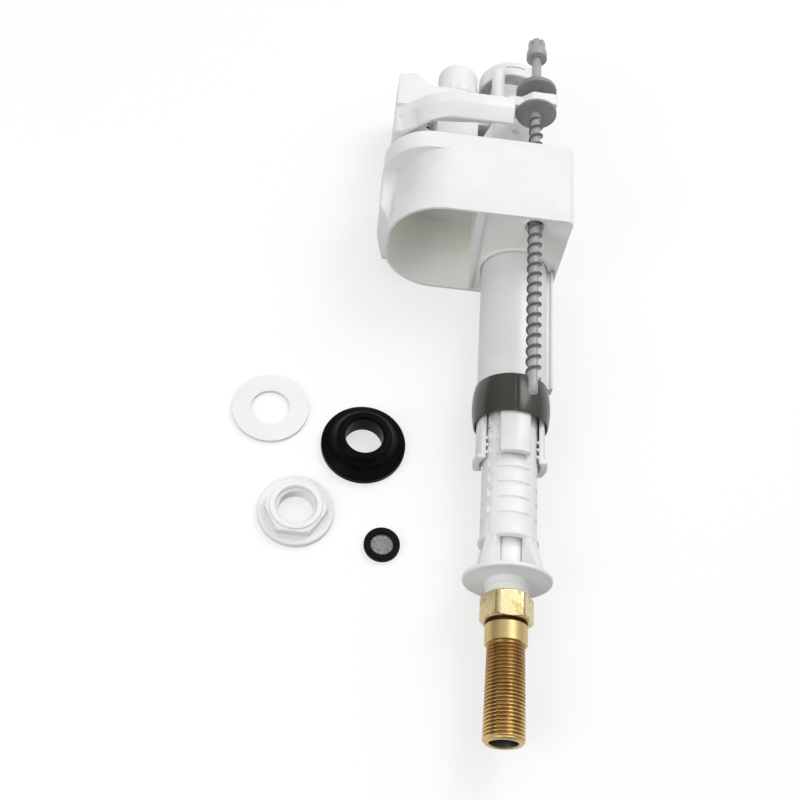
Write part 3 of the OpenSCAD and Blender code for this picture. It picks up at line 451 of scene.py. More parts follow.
@dataclass(frozen=True)
class TurnedBrass(Finish):
    """Brass turned on a lathe: gold crests, roots darkened by painted shade and patchy dirt, painted shade in
    the bore and the undercut, fine tool lines and brown tarnish on the hexagon.
    """

    crest_r: float
    root_r: float
    thread_top: float
    hex_low: float
    bore_r: float
    gold: Colour = (0.62, 0.47, 0.22)
    pale: Colour = (0.72, 0.635, 0.41)
    thread_gold: Colour = (0.70, 0.50, 0.21)
    # painted shade: the colour of the thread's roots
    root: Colour = (0.28, 0.14, 0.04)
    # painted shade inside the bore
    painted_bore_shade: Colour = (0.30, 0.29, 0.25)
    # painted shadow in the undercut below the hexagon
    painted_neck_shadow: Colour = (0.14, 0.08, 0.03)
    tarnish: Colour = (0.40, 0.27, 0.08)
    open_end: tuple[float, float] = (1.0 * MM, 1.8 * MM)
    bore_edge: tuple[float, float] = (0.35 * MM, 0.1 * MM)
    blend: float = 0.3 * MM
    neck_len: float = 1.4 * MM
    neck_reach: float = 0.8 * MM
    crest_flat: float = 0.1 * MM
    patch_size: float = 7 * MM
    speckle_size: float = 0.8 * MM
    streak_size: float = 0.35 * MM
    tool_pitch: float = 0.16 * MM
    tool_depth: float = 0.006 * MM

    def sockets(self, tree: NodeTree) -> dict[str, Any]:
        """Masks by height and radius part the thread, the plain length, the undercut and the hexagon.

        Args:
            tree: The material's tree, to which nodes are added.

        Returns:
            Values or signals by socket name.
        """
        place = tree.place()
        x, y, z = tree.axes(place)
        radius = tree.distance_from_axis(x, z, (0.0, 0.0))
        on_thread = y.step(self.thread_top + self.blend, self.thread_top - self.blend)
        on_thread = on_thread * y.step(*self.open_end)
        in_bore = radius.step(*(self.bore_r + edge for edge in self.bore_edge))
        on_hex = y.step(self.hex_low - 0.4 * MM, self.hex_low + 0.2 * MM)
        neck_y = self.hex_low - self.neck_len
        in_neck = y.step(neck_y, neck_y + self.blend) * y.step(self.hex_low + self.blend, self.hex_low)
        in_neck = in_neck * radius.step(self.crest_r + self.neck_reach, self.crest_r) * (1 - in_bore)
        depth = radius.step(self.crest_r - self.crest_flat, self.root_r) * on_thread
        patchy = tree.noise(place, self.patch_size, 4.0, 0.6)
        speckle = tree.noise(place, self.speckle_size, 3.0, 0.7)
        # painted shade darkens the thread's roots, and patchy dirt lies along the thread
        root_shade_and_dirt = (depth * 0.75 + on_thread * patchy.step(0.45, 0.8) * 0.35).least(1.0)
        blotch = (patchy + speckle * 0.22).step(0.62, 0.78) * on_hex
        stain = (blotch * 0.75 + speckle.step(0.62, 0.8) * 0.12).least(1.0)
        plain = tree.mixed(on_hex * patchy.step(0.3, 0.7), self.gold, self.pale)
        plain = tree.mixed(on_thread, plain, self.thread_gold)
        colour = tree.mixed(stain, tree.mixed(root_shade_and_dirt, plain, self.root), self.tarnish)
        # painted shade inside the bore
        colour = tree.mixed(in_bore, colour, self.painted_bore_shade)
        # painted shadow in the undercut
        colour = tree.mixed(in_neck, colour, self.painted_neck_shadow)
        lines = (y * (TURN / self.tool_pitch)).sine() * 0.5 + 0.5
        streaks = tree.noise(tree.stretched(place, (1.0, 0.05, 1.0)), self.streak_size, 2.0)
        height = lines * (1 - on_hex) + streaks * on_hex
        turned = (1 - on_thread) * (1 - on_hex)
        rough = stain * 0.22 + root_shade_and_dirt * 0.12 + speckle * 0.10 + turned * 0.17 + in_neck * 0.2 + 0.18
        return {
            "Base Color": colour,
            "Metallic": 1.0,
            "Roughness": rough,
            "Normal": tree.bump(height, self.tool_depth),
        }


@dataclass(frozen=True)
class MouldedRubber(Finish):
    """Black rubber with a soft sheen, a matt bloom and fine moulding rings round a centre."""

    colour: Colour
    bloom: Colour
    centre: tuple[float, float] = (0.0, 0.0)
    roughness: float = 0.42
    gloss: float = 0.2
    ring_pitch: float = 0.7 * MM
    ring_depth: float = 0.03 * MM
    cloud_size: float = 5 * MM
    grain_size: float = 0.25 * MM

    def sockets(self, tree: NodeTree) -> dict[str, Any]:
        """Rings by distance from the centre in plan, with cloudy bloom.

        Args:
            tree: The material's tree, to which nodes are added.

        Returns:
            Values or signals by socket name.
        """
        place = tree.place()
        x, y, _ = tree.axes(place)
        ring = (tree.distance_from_axis(x, y, self.centre) * (TURN / self.ring_pitch)).sine()
        cloud = tree.noise(place, self.cloud_size, 4.0, 0.6)
        grain = tree.noise(place, self.grain_size, 2.0)
        return {
            "Base Color": tree.mixed(cloud.step(0.45, 0.85), self.colour, self.bloom),
            "Roughness": cloud * 0.22 + grain * 0.10 + (self.roughness - 0.14),
            "Normal": tree.bump(ring * 0.22 + grain * 0.6, self.ring_depth),
            "Specular IOR Level": self.gloss,
        }


@dataclass(frozen=True)
class SteelWire(Finish):
    """Stainless steel of the gauze and the pin, drawn smooth and a little grey."""

    colour: Colour = (0.33, 0.33, 0.32)
    dull: Colour = (0.06, 0.06, 0.056)
    roughness: float = 0.34
    cloud_size: float = 1.1 * MM
    grain_size: float = 0.2 * MM
    grain_depth: float = 0.004 * MM

    def sockets(self, tree: NodeTree) -> dict[str, Any]:
        """Cloudy dullness on bright metal.

        Args:
            tree: The material's tree, to which nodes are added.

        Returns:
            Values or signals by socket name.
        """
        place = tree.place()
        cloud = tree.noise(place, self.cloud_size, 3.0)
        grain = tree.noise(place, self.grain_size, 2.0)
        return {
            "Base Color": tree.mixed(cloud.step(0.35, 0.65), self.colour, self.dull),
            "Metallic": 1.0,
            "Roughness": grain * 0.16 + (self.roughness - 0.08),
            "Normal": tree.bump(grain, self.grain_depth),
        }


# Surfaces


class Stand(Enum):
    """How a piece's own axes lie in the model's frame, as the rows of the matrix that turns them."""

    UP_THE_VALVE = ((1, 0, 0), (0, 0, 1), (0, -1, 0))
    OFF_THE_TABLE = ((1, 0, 0), (0, 1, 0), (0, 0, 1))

    def place(self, points: np.ndarray, origin: Sequence[float]) -> np.ndarray:
        """Turns points from the piece's axes, whose third is its own axis, and moves them to origin."""
        return points @ np.array(self.value, float).T + np.asarray(origin, float)

    def round_size(self, node: str) -> tuple[float, float]:
        """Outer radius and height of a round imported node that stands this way.

        Args:
            node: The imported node.

        Returns:
            The radius and the height in metres.
        """
        low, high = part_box(node)
        own_axis = 1 if self is Stand.UP_THE_VALVE else 2
        return (high.x - low.x) / 2, high[own_axis] - low[own_axis]


@dataclass
class Skin:
    """A mesh as arrays: points with three numbers each, and faces with four point numbers each."""

    points: np.ndarray
    faces: np.ndarray

    @staticmethod
    def grid(points: np.ndarray, close_rows: bool = False, close_columns: bool = False) -> Skin:
        """Joins a grid of points into quads.

        The face at row i and column j has the corners (i, j), (i, j + 1), (i + 1, j + 1) and (i + 1, j).
        The number after the last is the first again if that direction is closed.

        Args:
            points: Rows by columns by three.
            close_rows: Whether the last row joins the first.
            close_columns: Whether the last column joins the first.

        Returns:
            The skin.
        """
        rows, columns = points.shape[:2]
        i = np.arange(rows if close_rows else rows - 1)[:, None]
        j = np.arange(columns if close_columns else columns - 1)[None, :]
        below, beside = (i + 1) % rows, (j + 1) % columns
        corners = [i * columns + j, i * columns + beside, below * columns + beside, below * columns + j]
        quads = np.stack(np.broadcast_arrays(*corners), -1).reshape(-1, 4)
        return Skin(points.reshape(-1, 3), quads)

    @staticmethod
    def joined(skins: Sequence[Skin]) -> Skin:
        """Several skins in one mesh.

        Args:
            skins: The skins, at least one.

        Returns:
            The joined skin.
        """
        starts = np.cumsum([0, *(len(skin.points) for skin in skins)])
        faces = [skin.faces + start for skin, start in zip(skins, starts)]
        return Skin(np.concatenate([skin.points for skin in skins]), np.concatenate(faces))

    def placed(self, stand: Stand, origin: Sequence[float] = (0.0, 0.0, 0.0)) -> Skin:
        """The skin turned and moved into the model's frame."""
        return Skin(stand.place(self.points, origin), self.faces)


def angles(sides: int) -> np.ndarray:
    """That many evenly spaced angles in radians, from 0."""
    return np.arange(sides) * TURN / sides


def turned(radius: np.ndarray, height: np.ndarray, angle: np.ndarray, closed: bool = True) -> Skin:
    """A turned surface whose radius may change round the axis.

    The point at row s and angle a is (r cos a, r sin a, h), where r = radius[s, a] and h = height[s].

    Args:
        radius: Radii, as rows, or as rows by angles.
        height: Height of each row.
        angle: Angles in radians, once round.
        closed: Whether the last row joins the first, as for a ring. Otherwise the ends are on the axis.

    Returns:
        The surface about the third axis.
    """
    r = np.broadcast_to(radius if radius.ndim == 2 else radius[:, None], (len(height), len(angle)))
    h = np.broadcast_to(height[:, None], r.shape)
    points = np.stack([r * np.cos(angle), r * np.sin(angle), h], -1)
    return Skin.grid(points, close_rows=closed, close_columns=True)


def lathe(outline: np.ndarray, sides: int = 96) -> Skin:
    """A ring turned from a closed outline of (radius, height) points."""
    return turned(outline[:, 0], outline[:, 1], angles(sides))


def rounded(corners: Sequence[tuple[float, float, float]], steps: int = 4, closed: bool = True) -> np.ndarray:
    """An outline with each corner rounded by an arc of its own radius.

    At a corner P with unit directions u and v to its neighbours, whose angle is w, the arc starts and ends at
    the distance t = radius / tan(w / 2) along u and v. Its points are P + (u (1 - c)^2 + v c^2) t with c from
    0 to 1, a parabola that is tangent to both sides.

    Args:
        corners: (x, y, radius) of each corner.
        steps: Number of spans in an arc.
        closed: Whether the last corner is followed by the first.

    Returns:
        The points of the outline, two numbers each.
    """
    points = np.array([c[:2] for c in corners], float)
    made = []
    for i, (x, y, radius) in enumerate(corners):
        if radius <= 0 or (not closed and i in (0, len(corners) - 1)):
            made.append([[x, y]])
            continue
        before = points[i - 1] - points[i]
        after = points[(i + 1) % len(points)] - points[i]
        room = 0.49 * min(np.linalg.norm(before), np.linalg.norm(after))
        u, v = before / np.linalg.norm(before), after / np.linalg.norm(after)
        half = math.acos(float(np.clip(u @ v, -1, 1))) / 2
        reach = min(radius / math.tan(max(half, 0.05)), room)
        c = np.linspace(0, 1, steps + 1)[:, None]
        made.append(points[i] + (u * (1 - c) ** 2 + v * c**2) * reach)
    return np.concatenate([np.asarray(m, float) for m in made])


def stations(stops: Sequence[float], span: float) -> np.ndarray:
    """Heights from each stop to the next with no span longer than the one given, each stop included.

    Args:
        stops: Heights in order, up or down.
        span: The longest span.

    Returns:
        The heights.
    """
    counts = [max(2, math.ceil(abs(b - a) / span) + 1) for a, b in zip(stops, stops[1:])]
    parts = [np.linspace(a, b, n)[:-1] for a, b, n in zip(stops, stops[1:], counts)]
    return np.concatenate([*parts, [stops[-1]]])


def smooth(value: np.ndarray, low: float, high: float) -> np.ndarray:
    """A smooth step 3 t^2 - 2 t^3 of t from 0 at low to 1 at high."""
    t = np.clip((value - low) / (high - low), 0, 1)
    return t * t * (3 - 2 * t)


def thread_groove(
    height: np.ndarray, angle: np.ndarray, pitch: float, crest: float, root: float
) -> np.ndarray:
    """How far each point lies in the groove of a right-handed thread, from 0 on the crest to 1 at the root.

    With the share of a turn s = h / pitch - a / 360, it is the smooth step of |2 frac(s) - 1|.

    Args:
        height: Height of each row.
        angle: Angles in radians.
        pitch: Height of a turn.
        crest: Where the step starts, as a share of half the pitch.
        root: Where it ends.

    Returns:
        A number for each row and angle.
    """
    share = (height[:, None] / pitch - angle / TURN) % 1
    return smooth(np.abs(2 * share - 1), crest, root)


def hexagon_radius(angle: np.ndarray, flats: float, sharp: float = 70.0) -> np.ndarray:
    """Radius of a hexagon with slightly rounded corners.

    The flat i is at the angle 30 + 60 i degrees. The radius is half the width across flats divided by the
    p-norm of max(0, cos(angle - flat)) over the flats, with p = sharp.

    Args:
        angle: Angles in radians.
        flats: Width across the flats.
        sharp: The power p: higher is sharper.

    Returns:
        A radius for each angle.
    """
    flat = np.radians(30 + 60 * np.arange(6))
    reach = np.clip(np.cos(np.asarray(angle)[..., None] - flat), 0, None)
    return flats / 2 / (reach**sharp).sum(-1) ** (1 / sharp)


# Pieces


class Workshop:
    """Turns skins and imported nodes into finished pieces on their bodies."""

    SKIN_MERGE = 1e-7
    COPY_MERGE = 2e-6
    FLAT_DEG = 0.4
    BEVEL_DEG = 28
    SHADE_DEG = 40

    def __init__(self, frame: Mapping[str, Any]) -> None:
        """Args:
            frame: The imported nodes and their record.
        """
        self.nodes: Mapping[str, bpy.types.Object] = frame["nodes"]
        bodies = frame["record"]["behaviour"]["bodies"]
        self.body_of = {node: body for body, members in bodies.items() for node in members}
        self.slot_of = {s["node"]: s["material_slot"] for s in frame["record"]["subparts"]}
        self.materials: dict[Finish, bpy.types.Material] = {}
        self.dressed: set[str] = set()

    def _material(self, finish: Finish) -> bpy.types.Material:
        """The material of a finish, made once.

        Args:
            finish: The finish.

        Returns:
            Its material.
        """
        if finish not in self.materials:
            self.materials[finish] = finish.material()
        return self.materials[finish]

    def piece(self, name: str, skin: Skin, node: str, finish: Finish, crease: float = 35) -> None:
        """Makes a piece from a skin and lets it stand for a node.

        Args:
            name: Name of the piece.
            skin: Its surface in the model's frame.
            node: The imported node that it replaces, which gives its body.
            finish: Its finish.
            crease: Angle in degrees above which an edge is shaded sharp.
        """
        mesh = bpy.data.meshes.new(name)
        mesh.from_pydata(skin.points, [], skin.faces)
        work = self._opened(mesh, self.SKIN_MERGE)
        bmesh.ops.recalc_face_normals(work, faces=work.faces)
        self._closed(work, mesh, crease)
        self._finished(name, mesh, node, finish)

    def softened(
        self, name: str, node: str, finish: Finish, radius: float, cut: float | None = None
    ) -> bpy.types.Mesh:
        """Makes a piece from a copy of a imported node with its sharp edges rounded.

        The copy's doubles are merged and its flat faces joined, and then each sharp edge is bevelled in two
        spans.

        Args:
            name: Name of the piece.
            node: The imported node.
            finish: Its finish.
            radius: How far each bevel reaches from its edge.
            cut: Height above which the copy is cut away, or nothing to keep all of it.

        Returns:
            The piece's mesh.
        """
        mesh = self.nodes[node].data.copy()
        mesh.name = name
        work = self._opened(mesh, self.COPY_MERGE)
        flat = math.radians(self.FLAT_DEG)
        bmesh.ops.dissolve_limit(work, angle_limit=flat, verts=work.verts, edges=work.edges, delimit=set())
        if cut is not None:
            self._cut_above(work, cut)
        limit = math.radians(self.BEVEL_DEG)
        sharp = [e for e in work.edges if e.is_manifold and e.calc_face_angle(0) > limit]
        bmesh.ops.bevel(
            work, geom=sharp, offset=radius, offset_type="OFFSET", segments=2, profile=0.5, affect="EDGES",
            clamp_overlap=False, loop_slide=True, miter_outer="SHARP",
        )
        bmesh.ops.triangulate(work, faces=[f for f in work.faces if len(f.verts) > 4])
        self._closed(work, mesh, self.SHADE_DEG)
        self._finished(name, mesh, node, finish)
        return mesh

    def kept(self, node: str, finish: Finish) -> None:
        """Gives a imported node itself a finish, where its own shape is right.

        Args:
            node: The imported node.
            finish: Its finish.
        """
        shown = self.nodes[node]
        shown.data.materials.clear()
        shown.data.materials.append(self._material(finish))
        self.dressed.add(node)
        LOG.info("%s keeps its packed shape, in %s", node, finish.name)

    @staticmethod
    def _opened(mesh: bpy.types.Mesh, merge: float) -> bmesh.types.BMesh:
        """A working copy of a mesh, in which points nearer than the merge distance are one.

        Args:
            mesh: The mesh, which stays as it is.
            merge: The merge distance.

        Returns:
            The working copy.
        """
        work = bmesh.new()
        work.from_mesh(mesh)
        bmesh.ops.remove_doubles(work, verts=work.verts, dist=merge)
        bmesh.ops.dissolve_degenerate(work, edges=work.edges, dist=merge)
        return work

    @staticmethod
    def _cut_above(work: bmesh.types.BMesh, height: float) -> None:
        """Cuts away what is above a height, and closes the cut.

        Args:
            work: The working copy.
            height: Height of the cut along the valve.
        """
        every = [*work.verts, *work.edges, *work.faces]
        made = bmesh.ops.bisect_plane(
            work, geom=every, plane_co=(0, height, 0), plane_no=(0, 1, 0), clear_outer=True
        )
        rim = [e for e in made["geom_cut"] if isinstance(e, bmesh.types.BMEdge)]
        bmesh.ops.triangle_fill(work, edges=rim, use_beauty=True)

    @staticmethod
    def _closed(work: bmesh.types.BMesh, mesh: bpy.types.Mesh, crease: float) -> None:
        """Shades all faces smooth and each edge above the crease angle sharp, and writes the mesh.

        Args:
            work: The working copy, which is freed.
            mesh: The mesh that it is written to.
            crease: The crease angle in degrees.
        """
        limit = math.radians(crease)
        for face in work.faces:
            face.smooth = True
        for edge in work.edges:
            edge.smooth = not edge.is_manifold or edge.calc_face_angle(0) < limit
        work.to_mesh(mesh)
        work.free()

    def _finished(self, name: str, mesh: bpy.types.Mesh, node: str, finish: Finish) -> None:
        """Links the mesh as an object that rides on the node's body, in the node's place.

        Args:
            name: Name of the piece.
            mesh: Its finished mesh.
            node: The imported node.
            finish: Its finish.
        """
        mesh.materials.clear()
        mesh.materials.append(self._material(finish))
        made = bpy.data.objects.new(name, mesh)
        bpy.context.scene.collection.objects.link(made)
        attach(made, self.body_of[node])
        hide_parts(node)
        self.dressed.add(node)
        LOG.info("%s stands for %s, %d faces, in %s", name, node, len(mesh.polygons), finish.name)


WHITE = MouldedPlastic("white_moulding", (0.86, 0.86, 0.85), (0.82, 0.82, 0.81), glow=0.05)
TUBE = MouldedPlastic(
    "extruded_white", (0.80, 0.80, 0.79), (0.76, 0.76, 0.75), roughness=0.34, grain_depth=0.004 * MM
)
GREY = MouldedPlastic("grey_moulding", (0.27, 0.27, 0.275), (0.22, 0.22, 0.225), roughness=0.40)
SCREW_GREY = MouldedPlastic("screw_moulding", (0.38, 0.38, 0.385), (0.31, 0.31, 0.315), roughness=0.32)
OLIVE = MouldedPlastic(
    "olive_moulding", (0.036, 0.039, 0.026), (0.024, 0.026, 0.017), roughness=0.28, uneven=0.06, coat=0.12
)
SEAL = MouldedRubber("seal_rubber", (0.020, 0.020, 0.020), (0.035, 0.035, 0.034))
STEEL = SteelWire("steel_wire")


@dataclass
class InletTail:
    """The brass tail: thread, plain length, undercut and hexagon, as one turned piece."""

    pitch: float = 1.814 * MM
    shank_r: float = 10.4775 * MM
    thread_depth: float = 0.95 * MM
    shank_len: float = 49 * MM
    lead_in: float = 1.5 * MM
    lead_slope: float = 0.9
    run_out: float = 0.45 * MM
    fade_in: tuple[float, float] = (0.2 * MM, 2.2 * MM)
    fade_out: tuple[float, float] = (1.4 * MM, 0.7 * MM)
    plain_r: float = 10.75 * MM
    plain_chamfer: float = 0.6 * MM
    neck_y: float = 59 * MM
    neck_depth: float = 1.4 * MM
    hex_y: float = 60.2 * MM
    flats: float = 24.4 * MM
    corner_r: float = 13.66 * MM
    bevel: float = 1.4 * MM
    bevel_slope: float = 1.75
    bore_r: float = 7.2 * MM
    seat_r: float = 6.5 * MM
    socket_r: float = 8.65 * MM
    socket_y: float = 60.9 * MM
    socket_chamfer: tuple[float, float] = (0.3 * MM, 0.4 * MM)
    bore_chamfer: float = 0.5 * MM
    sides: int = 96
    spans_per_turn: int = 18
    crease: float = 27

    def build(self, shop: Workshop) -> None:
        """Builds the tail and dresses the seal and the restrictor inside it.

        Args:
            shop: Where the pieces are made.
        """
        _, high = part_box("brass_tail")
        root_r = self.shank_r - self.thread_depth
        brass = TurnedBrass("turned_brass", self.shank_r, root_r, self.shank_len, self.hex_y, self.bore_r)
        shop.piece("threaded_tail", self._surface(high.y), "brass_tail", brass, self.crease)
        shop.kept("tail_o_ring", SEAL)
        shop.kept("flow_restrictor", WHITE)

    def _surface(self, top: float) -> Skin:
        """One closed turned surface, up the outside and back down the bore.

        Args:
            top: Height of the hexagon's top.

        Returns:
            The skin in the model's frame.
        """
        radius, height = self._outside(top)
        bore = self._bore(top)
        radius = np.concatenate([radius, np.repeat(bore[:, :1], self.sides, 1)])
        height = np.concatenate([height, bore[:, 1]])
        return turned(radius, height, angles(self.sides)).placed(Stand.UP_THE_VALVE)

    def _outside(self, top: float) -> tuple[np.ndarray, np.ndarray]:
        """The rows from the open end up to the hexagon's top.

        The outline narrows evenly from the shank's radius at the lead-in to the thread's root at the run-out.
        On the thread the radius is the outline's less depth * groove, and the depth fades to nothing at both
        ends. On the hexagon the radius is the least of the hexagon's, of the radius that its corners are
        turned to, and of a cone that bevels its ends.

        Args:
            top: Height of the hexagon's top.

        Returns:
            Radii by row and angle, and the height of each row.
        """
        angle, gap = angles(self.sides), 0.05 * MM
        neck_r = self.plain_r - self.neck_depth
        outline = np.array([
            (0.0, self.shank_r - self.lead_in * self.lead_slope),
            (self.lead_in, self.shank_r),
            (self.shank_len - self.run_out, self.shank_r - self.thread_depth),
            (self.shank_len, self.plain_r),
            (self.neck_y - self.plain_chamfer, self.plain_r),
            (self.neck_y, self.plain_r - self.plain_chamfer),
            (self.neck_y + gap, neck_r),
            (self.hex_y - gap, neck_r),
        ])
        last_row, bevelled, fine = self.shank_len - 1.2 * MM, 1.6 * MM, 0.2 * MM
        thread = stations([0.0, self.lead_in, last_row], self.pitch / self.spans_per_turn)
        nut = stations([self.hex_y, self.hex_y + bevelled, top - bevelled, top], fine)
        height = np.concatenate([thread, outline[2:, 0], nut])

        groove = thread_groove(height, angle, self.pitch, 0.12, 0.92)
        fade = 1 - smooth(height, *(self.shank_len - reach for reach in self.fade_out))
        fade = smooth(height, *self.fade_in) * fade
        radius = np.interp(height, *outline.T)[:, None] - self.thread_depth * groove * fade[:, None]

        from_end = np.maximum(np.minimum(height - self.hex_y, top - height), 0)[:, None]
        cone = self.corner_r - self.bevel + from_end * self.bevel_slope
        faces = np.minimum(hexagon_radius(angle, self.flats, 400.0), self.corner_r)
        on_hex = (height >= self.hex_y)[:, None]
        return np.where(on_hex, np.minimum(faces, cone), radius), height

    def _bore(self, top: float) -> np.ndarray:
        """The outline inside, down from the hexagon's top: the foot's socket, its seat and the bore.

        Args:
            top: Height of the hexagon's top.

        Returns:
            Radii and heights of the outline's points.
        """
        wide, deep = self.socket_chamfer
        return np.array([
            (self.socket_r + wide, top),
            (self.socket_r, top - deep),
            (self.socket_r, self.socket_y),
            (self.seat_r, self.socket_y),
            (self.seat_r, self.shank_len + MM),
            (self.bore_r, self.shank_len + 0.4 * MM),
            (self.bore_r, self.bore_chamfer),
            (self.bore_r + self.bore_chamfer, 0.0),
        ])


@dataclass
class HeightColumn:
    """The fixed foot with its ribbed column, and the guide tube and collar that slide on it.

    Angles on the column are degrees from its front or its back, whichever is nearer.
    """

    column_len: float = 100 * MM
    column_r: float = 14.75 * MM
    column_bore_r: float = 11.9 * MM
    foot_len: float = 1.2 * MM
    chamfer: float = 1.2 * MM
    plain_len: float = 3 * MM
    rib_pitch: float = 8.75 * MM
    groove_w: float = 1.5 * MM
    groove_depth: float = 1.0 * MM
    panel_edge: float = 38.5
    line_depth: float = 0.25 * MM
    line_w: float = 0.8
    post_edge: float = 50.0
    pad_edge: float = 57.0
    pad_back: float = 0.8
    pad_lift: float = 1.3 * MM
    pad_len: float = 3.5 * MM
    pad_rise: float = 0.75 * MM
    dip: float = 0.3 * MM
    ring_len: float = 3 * MM
    cage_len: float = 18 * MM
    sleeve_r: float = 10.1 * MM
    sleeve_flare: float = 0.5 * MM
    sleeve_flare_len: float = 2 * MM
    sleeve_overlap: tuple[float, float] = (0.4 * MM, 2 * MM)
    sleeve_bore_r: float = 6.3 * MM
    collar_bore_r: float = 19.2 * MM
    collar_edge: float = 0.5 * MM
    collar_bore_edge: float = 0.4 * MM
    bulge_r: float = 55 * MM
    seam_angle: float = math.radians(-91)
    seam_w: float = 0.45 * MM
    seam_depth: float = 0.6 * MM
    collar_sides: int = 480

    def build(self, shop: Workshop) -> None:
        """Dresses the foot and the tubes, and builds the column, the sleeve and the collar.

        Args:
            shop: Where the pieces are made.
        """
        _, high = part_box("foot_column")
        start = high.y - self.column_len
        shop.softened("flanged_foot", "foot_column", WHITE, 0.3 * MM, cut=start - 0.3 * MM)
        shop.piece("ribbed_column", self._column(start, high.y), "foot_column", WHITE, 60)
        shop.piece("cage_sleeve", self._sleeve(start), "foot_column", WHITE)
        shop.kept("inlet_pipe", TUBE)
        shop.kept("pipe_o_ring", SEAL)
        shop.kept("riser_pipe", TUBE)
        shop.softened("guide_sleeve", "guide_tube", TUBE, 0.22 * MM)
        shop.piece("olive_collar", self._collar(), "lock_collar", OLIVE, 50)

    def _column(self, start: float, top: float) -> Skin:
        """The ribbed tube: grooved panels at the front, the back and the sides, and four plain posts.

        With p the angle from the front or the back, the radius is R - depth g m - line + pad. Here g is 1 in
        each groove, m is 1 on the panels, and the line is exp(-((p - edge) / w)^2) beside each post.

        Args:
            start: Height of the column's lower end.
            top: Height of its upper end.

        Returns:
            The closed tube.
        """
        count = int((self.column_len - self.plain_len) / self.rib_pitch)
        middles = start + np.arange(1, count + 1) * self.rib_pitch + self.groove_w / 2
        rows, angle = self._column_rows(middles, start, top), self._column_angles()
        p = np.degrees(np.arccos(np.clip(np.abs(np.sin(angle)), 0, 1)))
        away = np.abs(rows[:, None] - middles).min(1)[:, None]
        groove = 1 - smooth(away, 0.25 * MM, self.groove_w / 2 + 0.1 * MM)
        edge, outer, blend = self.panel_edge, self.pad_edge + self.pad_back, 0.6
        panel = 1 - smooth(p, edge - blend, edge) * (1 - smooth(p, outer, outer + blend))
        line = self.line_depth * np.exp(-(((p - edge - 0.7) / self.line_w) ** 2))
        pads = self._pads(rows, middles, angle, p)
        radius = self.column_r - self.groove_depth * groove * panel - line + pads
        radius[-1] -= self.chamfer
        radius = np.concatenate([radius, np.full((2, len(angle)), self.column_bore_r)])
        return turned(radius, np.append(rows, [top, rows[0]]), angle).placed(Stand.UP_THE_VALVE)

    def _column_rows(self, middles: np.ndarray, start: float, top: float) -> np.ndarray:
        """Heights of the column's rows, close together at each groove and at the ends of each pad.

        Args:
            middles: Heights of the grooves' middles.
            start: Height of the column's lower end.
            top: Height of its upper end.

        Returns:
            The heights, from below.
        """
        beside = np.array([0.25, 0.45, 0.65, 0.9]) * MM
        corner = np.array([-0.15, 0.15]) * MM
        offsets = [-beside, [0.0], beside, self.pad_lift + corner, self.pad_lift + self.pad_len + corner]
        rows = (middles[:, None] + np.concatenate(offsets)).ravel()
        end = top - self.chamfer
        return np.sort(np.concatenate([[start - self.foot_len], rows[rows < end], [end, top]]))

    def _column_angles(self) -> np.ndarray:
        """Angles round the column in radians, close together at the posts' edges in each quarter.

        Returns:
            The angles, once round.
        """
        turns = [self.panel_edge - 1.5, self.panel_edge + 1.5, self.post_edge - 0.3, self.post_edge + 0.3,
                 self.pad_edge - 0.3, self.pad_edge + self.pad_back]
        quarter = np.radians(stations([0.0, *turns, 90.0], 1.6))
        half = np.concatenate([quarter[:-1], math.pi - quarter[:0:-1]])
        return np.concatenate([half, half + math.pi]) - math.pi / 2

    def _pads(self, rows: np.ndarray, middles: np.ndarray, angle: np.ndarray, p: np.ndarray) -> np.ndarray:
        """The pads on one side of each post, which rise from the post to their steep backs.

        Args:
            rows: Heights of the column's rows.
            middles: Heights of the grooves' middles, above which the pads stand.
            angle: Angles round the column.
            p: The same angles in degrees from the front or the back.

        Returns:
            What the pads add to the radius, by row and angle. It is negative between the pads.
        """
        above = np.where(rows[:, None] > middles, rows[:, None] - middles, np.inf).min(1)[:, None]
        slack = 0.01 * MM
        on_pad = (above > self.pad_lift - slack) & (above < self.pad_lift + self.pad_len + slack)
        tilt = np.clip((p - self.post_edge) / (self.pad_edge - self.post_edge), 0, 1)
        tilt = tilt * (p < self.pad_edge + self.pad_back / 2)
        toothed = np.sin(angle) * np.cos(angle) > 0
        beside = (p > self.post_edge) & (p < self.pad_edge + self.pad_back) & toothed
        return np.where(on_pad & toothed, self.pad_rise * tilt, np.where(beside, -self.dip, 0.0))

    def _sleeve(self, start: float) -> Skin:
        """The wide sleeve round the inlet pipe that shows in the cage's windows, as a turned ring.

        Args:
            start: Height of the column's lower end.

        Returns:
            The skin in the model's frame.
        """
        cage_top, (below, above) = start - self.ring_len, self.sleeve_overlap
        low, high = cage_top - self.cage_len - below, cage_top + above
        outline = rounded([
            (self.sleeve_bore_r, low, 0), (self.sleeve_r + self.sleeve_flare, low, 0),
            (self.sleeve_r, low + self.sleeve_flare_len, 0), (self.sleeve_r, high, 0.5 * MM),
            (self.sleeve_bore_r, high, 0.3 * MM),
        ])
        return lathe(outline).placed(Stand.UP_THE_VALVE)

